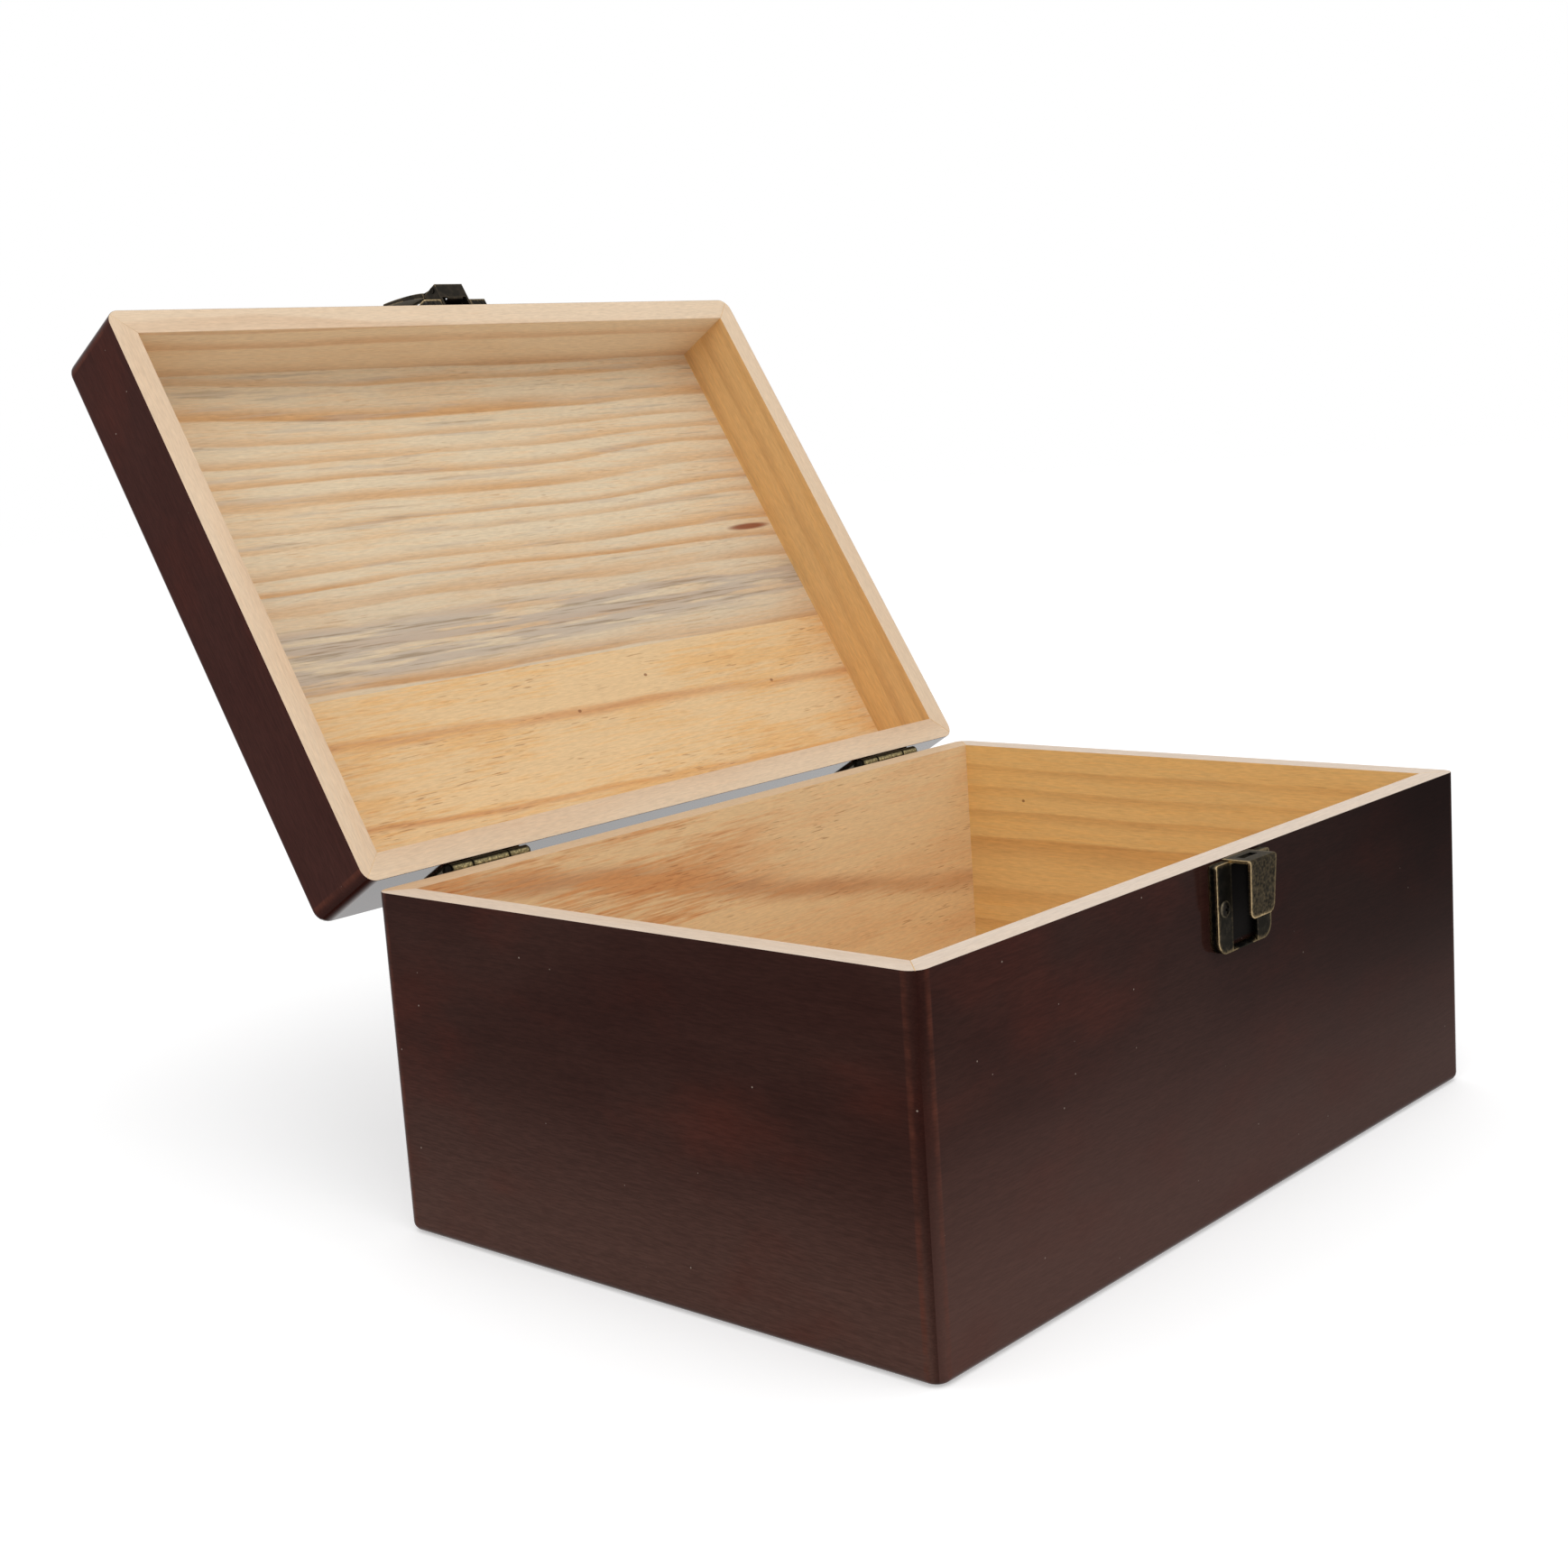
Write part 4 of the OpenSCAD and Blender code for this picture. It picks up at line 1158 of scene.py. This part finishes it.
def dress_metal(node, body, finish, size, reach, wear_test=rubbed_and_shaded, in_hollows=True):
    """A copy with sharp edges rounded by size and the outer ones rubbed over reach, in mm."""
    work = welded(node)
    sharp = [e for e in work.edges if e.is_manifold and e.calc_face_angle() > SHEET_EDGE]
    outer = [e for e in sharp if e.is_convex]
    rounded = sharp if in_hollows else outer
    rubbed_points = points_on(outer, WEAR_STEP)
    strength = wear_test(work, TO_SHUT[body])
    soften(work, rounded, size, steps=2)
    split_small(work, FACET)
    mark_brightness(work, rubbed_points, reach, strength)
    piece = shown(work, node + "_metal", node, body, [finish])
    print(f"{node}: {len(rounded)} edges rounded, {len(piece.data.polygons)} faces")


# A round in the corners of the hook's slot would touch the claw of the shut latch.
dress_metal("catch_plate", "base", latch_bronze, size=0.25, reach=1.0,
            wear_test=rubbed_and_shaded_beside_slot, in_hollows=False)
dress_metal("latch_plate", "lid", latch_bronze, size=0.22, reach=0.8)
dress_metal("latch_housing", "lid", lever_bronze, size=0.2, reach=0.5)
dress_metal("duckbill_lever", "lever", lever_bronze, size=0.2, reach=0.5)
for side in ("left", "right"):
    for body in ("base", "lid"):
        dress_metal(f"{side}_hinge_{body}_leaf", body, hinge_bronze, size=0.15, reach=0.5,
                    wear_test=painted_knuckle_highlight)

for node in ("left_hinge_pin", "right_hinge_pin", "lever_pin"):
    for slot in frame["nodes"][node].material_slots:
        slot.material = screw_bronze

# %% [markdown]
# ## Screws
# Twelve small screws hold the hardware: four with domed heads on the latch and eight
# countersunk ones on the hinges. They repeat, so a Geometry Nodes tree places them.
# One screw of each kind is turned in code on its own axis and gets a cross recess by a
# boolean. The tree then puts it on every point, faces it outward and gives each its own
# spin, because no two screws stop at the same angle.

# %% One turned screw
RECESS_TAPER = 0.55
SCREW_CREASE = math.radians(40)
HEAD_WEAR = 0.55


def turned(profile, segments=40):
    """A closed mesh of revolution about Z, from (radius, height) points in mm."""
    work = bmesh.new()
    line = [work.verts.new((r * MM, 0, z * MM)) for r, z in profile]
    edges = [work.edges.new(pair) for pair in zip(line, line[1:])]
    bmesh.ops.spin(
        work, geom=line + edges, axis=(0, 0, 1), cent=(0, 0, 0), steps=segments,
        angle=2 * math.pi, use_merge=True)
    bmesh.ops.remove_doubles(work, verts=work.verts, dist=WELD)
    bmesh.ops.recalc_face_normals(work, faces=work.faces)
    return work


def cross_cutter(width, length, depth, top):
    """Two crossed bars that narrow towards the bottom of the recess."""
    work = bmesh.new()
    for quarter in (0, math.pi / 2):
        bar = bmesh.ops.create_cube(work, size=1.0)["verts"]
        for v in bar:
            narrow = RECESS_TAPER if v.co.z < 0 else 1.0
            v.co = Vector((v.co.x * length * narrow, v.co.y * width, v.co.z * 2 * depth + top))
        bmesh.ops.rotate(work, verts=bar, cent=(0, 0, 0), matrix=Matrix.Rotation(quarter, 3, "Z"))
    for v in work.verts:
        v.co *= MM
    return work


def screw_pattern(name, profile, recess, worn_from):
    """A screw on the Z axis with its recess cut, marked worn outside a radius in mm."""
    head_top = max(height for radius, height in profile)
    screw = in_scene(name, mesh_from(turned(profile), name))
    cutter = in_scene(name + "_cutter", mesh_from(
        cross_cutter(**recess, top=head_top), name + "_cutter"))
    cut = screw.modifiers.new("recess", "BOOLEAN")
    cut.object = cutter
    cut.solver = "EXACT"
    cut.use_self = True
    made_plain(screw)
    mesh = screw.data
    bpy.data.objects.remove(cutter)
    wear = mesh.attributes.new("wear_and_painted_light", "FLOAT", "POINT")
    for vertex, mark in zip(mesh.vertices, wear.data):
        on_head_edge = vertex.co.xy.length > worn_from * MM and vertex.co.z > 0
        mark.value = HEAD_WEAR if on_head_edge else 0.0
    mesh.shade_smooth()
    mesh.set_sharp_from_angle(angle=SCREW_CREASE)
    print(name, "has", len(mesh.polygons), "faces")
    return screw


print("screw helpers ready: turned, cross_cutter, screw_pattern")

# %% The two kinds of screw
LATCH_HEAD_RADIUS, LATCH_HEAD_HEIGHT, HEAD_SINKS = 2.6, 1.1, 0.02
HINGE_HEAD_RADIUS, HINGE_HEAD_DEPTH = 2.1, 1.1
LATCH_SHANK_RADIUS, HINGE_SHANK_RADIUS, SHANK_LENGTH = 1.2, 1.05, 6.5
SCREW_POINT = (0, -SHANK_LENGTH - 1)
DOME_STEPS = 7

dome = [
    (LATCH_HEAD_RADIUS * math.sin(math.pi / 2 * i / DOME_STEPS),
     LATCH_HEAD_HEIGHT * math.cos(math.pi / 2 * i / DOME_STEPS))
    for i in range(DOME_STEPS + 1)]
latch_screw = screw_pattern(
    "latch_screw_pattern",
    dome + [(LATCH_HEAD_RADIUS, -HEAD_SINKS), (LATCH_SHANK_RADIUS, -HEAD_SINKS),
            (LATCH_SHANK_RADIUS, -SHANK_LENGTH), SCREW_POINT],
    recess=dict(width=0.75, length=3.4, depth=0.8), worn_from=2.1)
hinge_screw = screw_pattern(
    "hinge_screw_pattern",
    [(0, 0), (HINGE_HEAD_RADIUS - 0.1, 0), (HINGE_HEAD_RADIUS, -0.08),
     (HINGE_SHANK_RADIUS, -HINGE_HEAD_DEPTH), (HINGE_SHANK_RADIUS, -SHANK_LENGTH),
     SCREW_POINT],
    recess=dict(width=0.5, length=2.5, depth=0.55), worn_from=math.inf)

# %% The tree that sets screws
screw_row = bpy.data.node_groups.new("screw_row", "GeometryNodeTree")
GEOMETRY = "NodeSocketGeometry"
screw_row.interface.new_socket(name="Seats", in_out="INPUT", socket_type=GEOMETRY)
for label, kind in (("Screw", "NodeSocketObject"), ("Outward", VECTOR),
                    ("Finish", "NodeSocketMaterial"), ("Seed", "NodeSocketInt")):
    screw_row.interface.new_socket(name=label, in_out="INPUT", socket_type=kind)
screw_row.interface.new_socket(name="Screws", in_out="OUTPUT", socket_type=GEOMETRY)

given = screw_row.nodes.new("NodeGroupInput").outputs
seats = add(screw_row, "GeometryNodeMeshToPoints", {"Mesh": given["Seats"]})
one_screw = add(screw_row, "GeometryNodeObjectInfo", {"Object": given["Screw"]})
facing = add(screw_row, "FunctionNodeAlignRotationToVector", {"Vector": given["Outward"]}, axis="Z")
spin = add(screw_row, "FunctionNodeRandomValue", {"Seed": given["Seed"]}, data_type="FLOAT")
spin.inputs[2].default_value = 0.0
spin.inputs[3].default_value = math.pi / 2
about_z = add(screw_row, "ShaderNodeCombineXYZ", {"Z": spin.outputs[1]})
turn_by = add(screw_row, "FunctionNodeEulerToRotation", {"Euler": about_z.outputs[0]})
spun = add(
    screw_row, "FunctionNodeRotateRotation",
    {"Rotation": facing.outputs[0], "Rotate By": turn_by.outputs[0]}, rotation_space="LOCAL")
placed = add(screw_row, "GeometryNodeInstanceOnPoints", {
    "Points": seats.outputs[0], "Instance": one_screw.outputs["Geometry"],
    "Rotation": spun.outputs[0]})
solid = add(screw_row, "GeometryNodeRealizeInstances", {"Geometry": placed.outputs[0]})
coated = add(screw_row, "GeometryNodeSetMaterial", {
    "Geometry": solid.outputs[0], "Material": given["Finish"]})
add(screw_row, "NodeGroupOutput", {"Screws": coated.outputs[0]})
print("screw tree:", len(screw_row.nodes), "nodes")

# %% The screws of one body
def set_screws(name, node, body, pattern, seats_at, outward, seed):
    """One mesh with a screw on every seat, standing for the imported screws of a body."""
    mesh = bpy.data.meshes.new(name)
    mesh.from_pydata([tuple(seat) for seat in seats_at], [], [])
    piece = in_scene(name, mesh)
    rows = piece.modifiers.new("screws", "NODES")
    rows.node_group = screw_row
    values = {"Screw": pattern, "Outward": outward, "Finish": screw_bronze, "Seed": seed}
    for item in screw_row.interface.items_tree:
        if item.in_out == "INPUT" and item.name in values:
            rows[item.identifier] = values[item.name]
    piece.update_tag()
    made_plain(piece)
    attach(piece, body)
    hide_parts(node)
    print(name, len(seats_at), "screws,", len(piece.data.polygons), "faces")


print("screws take the finish", screw_bronze.name)

# %% Where each screw sits
HINGE_SCREW_FROM_MIDDLE = 12.0 * MM
FRONT, REAR = Vector((0, -1, 0)), Vector((0, 1, 0))
open_turn = OPEN.to_3x3()


def box_in(node, place):
    """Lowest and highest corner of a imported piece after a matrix."""
    return corners([place @ v.co for v in frame["nodes"][node].data.vertices])


def latch_seats(node, place):
    """Where the two domed heads of a latch piece sit, side by side on its front."""
    low, high = box_in(node, place)
    up = (low.z + high.z) / 2
    out = low.y + LATCH_HEAD_HEIGHT * MM
    ends = (low.x + LATCH_HEAD_RADIUS * MM, high.x - LATCH_HEAD_RADIUS * MM)
    return [place.inverted() @ Vector((x, out, up)) for x in ends]


def hinge_seats(node, place):
    """Seats of a body's four hinge screws, one on each side of both hinge middles."""
    low, high = box_in(node, place)
    up = (low.z + high.z) / 2
    seats_at = []
    for side in ("left", "right"):
        pin_low, pin_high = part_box(side + "_hinge_pin")
        middle = (pin_low.x + pin_high.x) / 2
        for step in (-1, 1):
            x = middle + step * HINGE_SCREW_FROM_MIDDLE
            seats_at.append(place.inverted() @ Vector((x, high.y, up)))
    return seats_at


set_screws("catch_screw_heads", "catch_screws", "base", latch_screw,
           latch_seats("catch_screws", HERE), FRONT, seed=3)
set_screws("latch_screw_heads", "latch_screws", "lid", latch_screw,
           latch_seats("latch_screws", SHUT), open_turn @ FRONT, seed=5)
set_screws("base_hinge_screw_heads", "base_hinge_screws", "base", hinge_screw,
           hinge_seats("base_hinge_screws", HERE), REAR, seed=7)
set_screws("lid_hinge_screw_heads", "lid_hinge_screws", "lid", hinge_screw,
           hinge_seats("lid_hinge_screws", SHUT), open_turn @ REAR, seed=11)
for pattern in (latch_screw, hinge_screw):
    bpy.data.objects.remove(pattern)
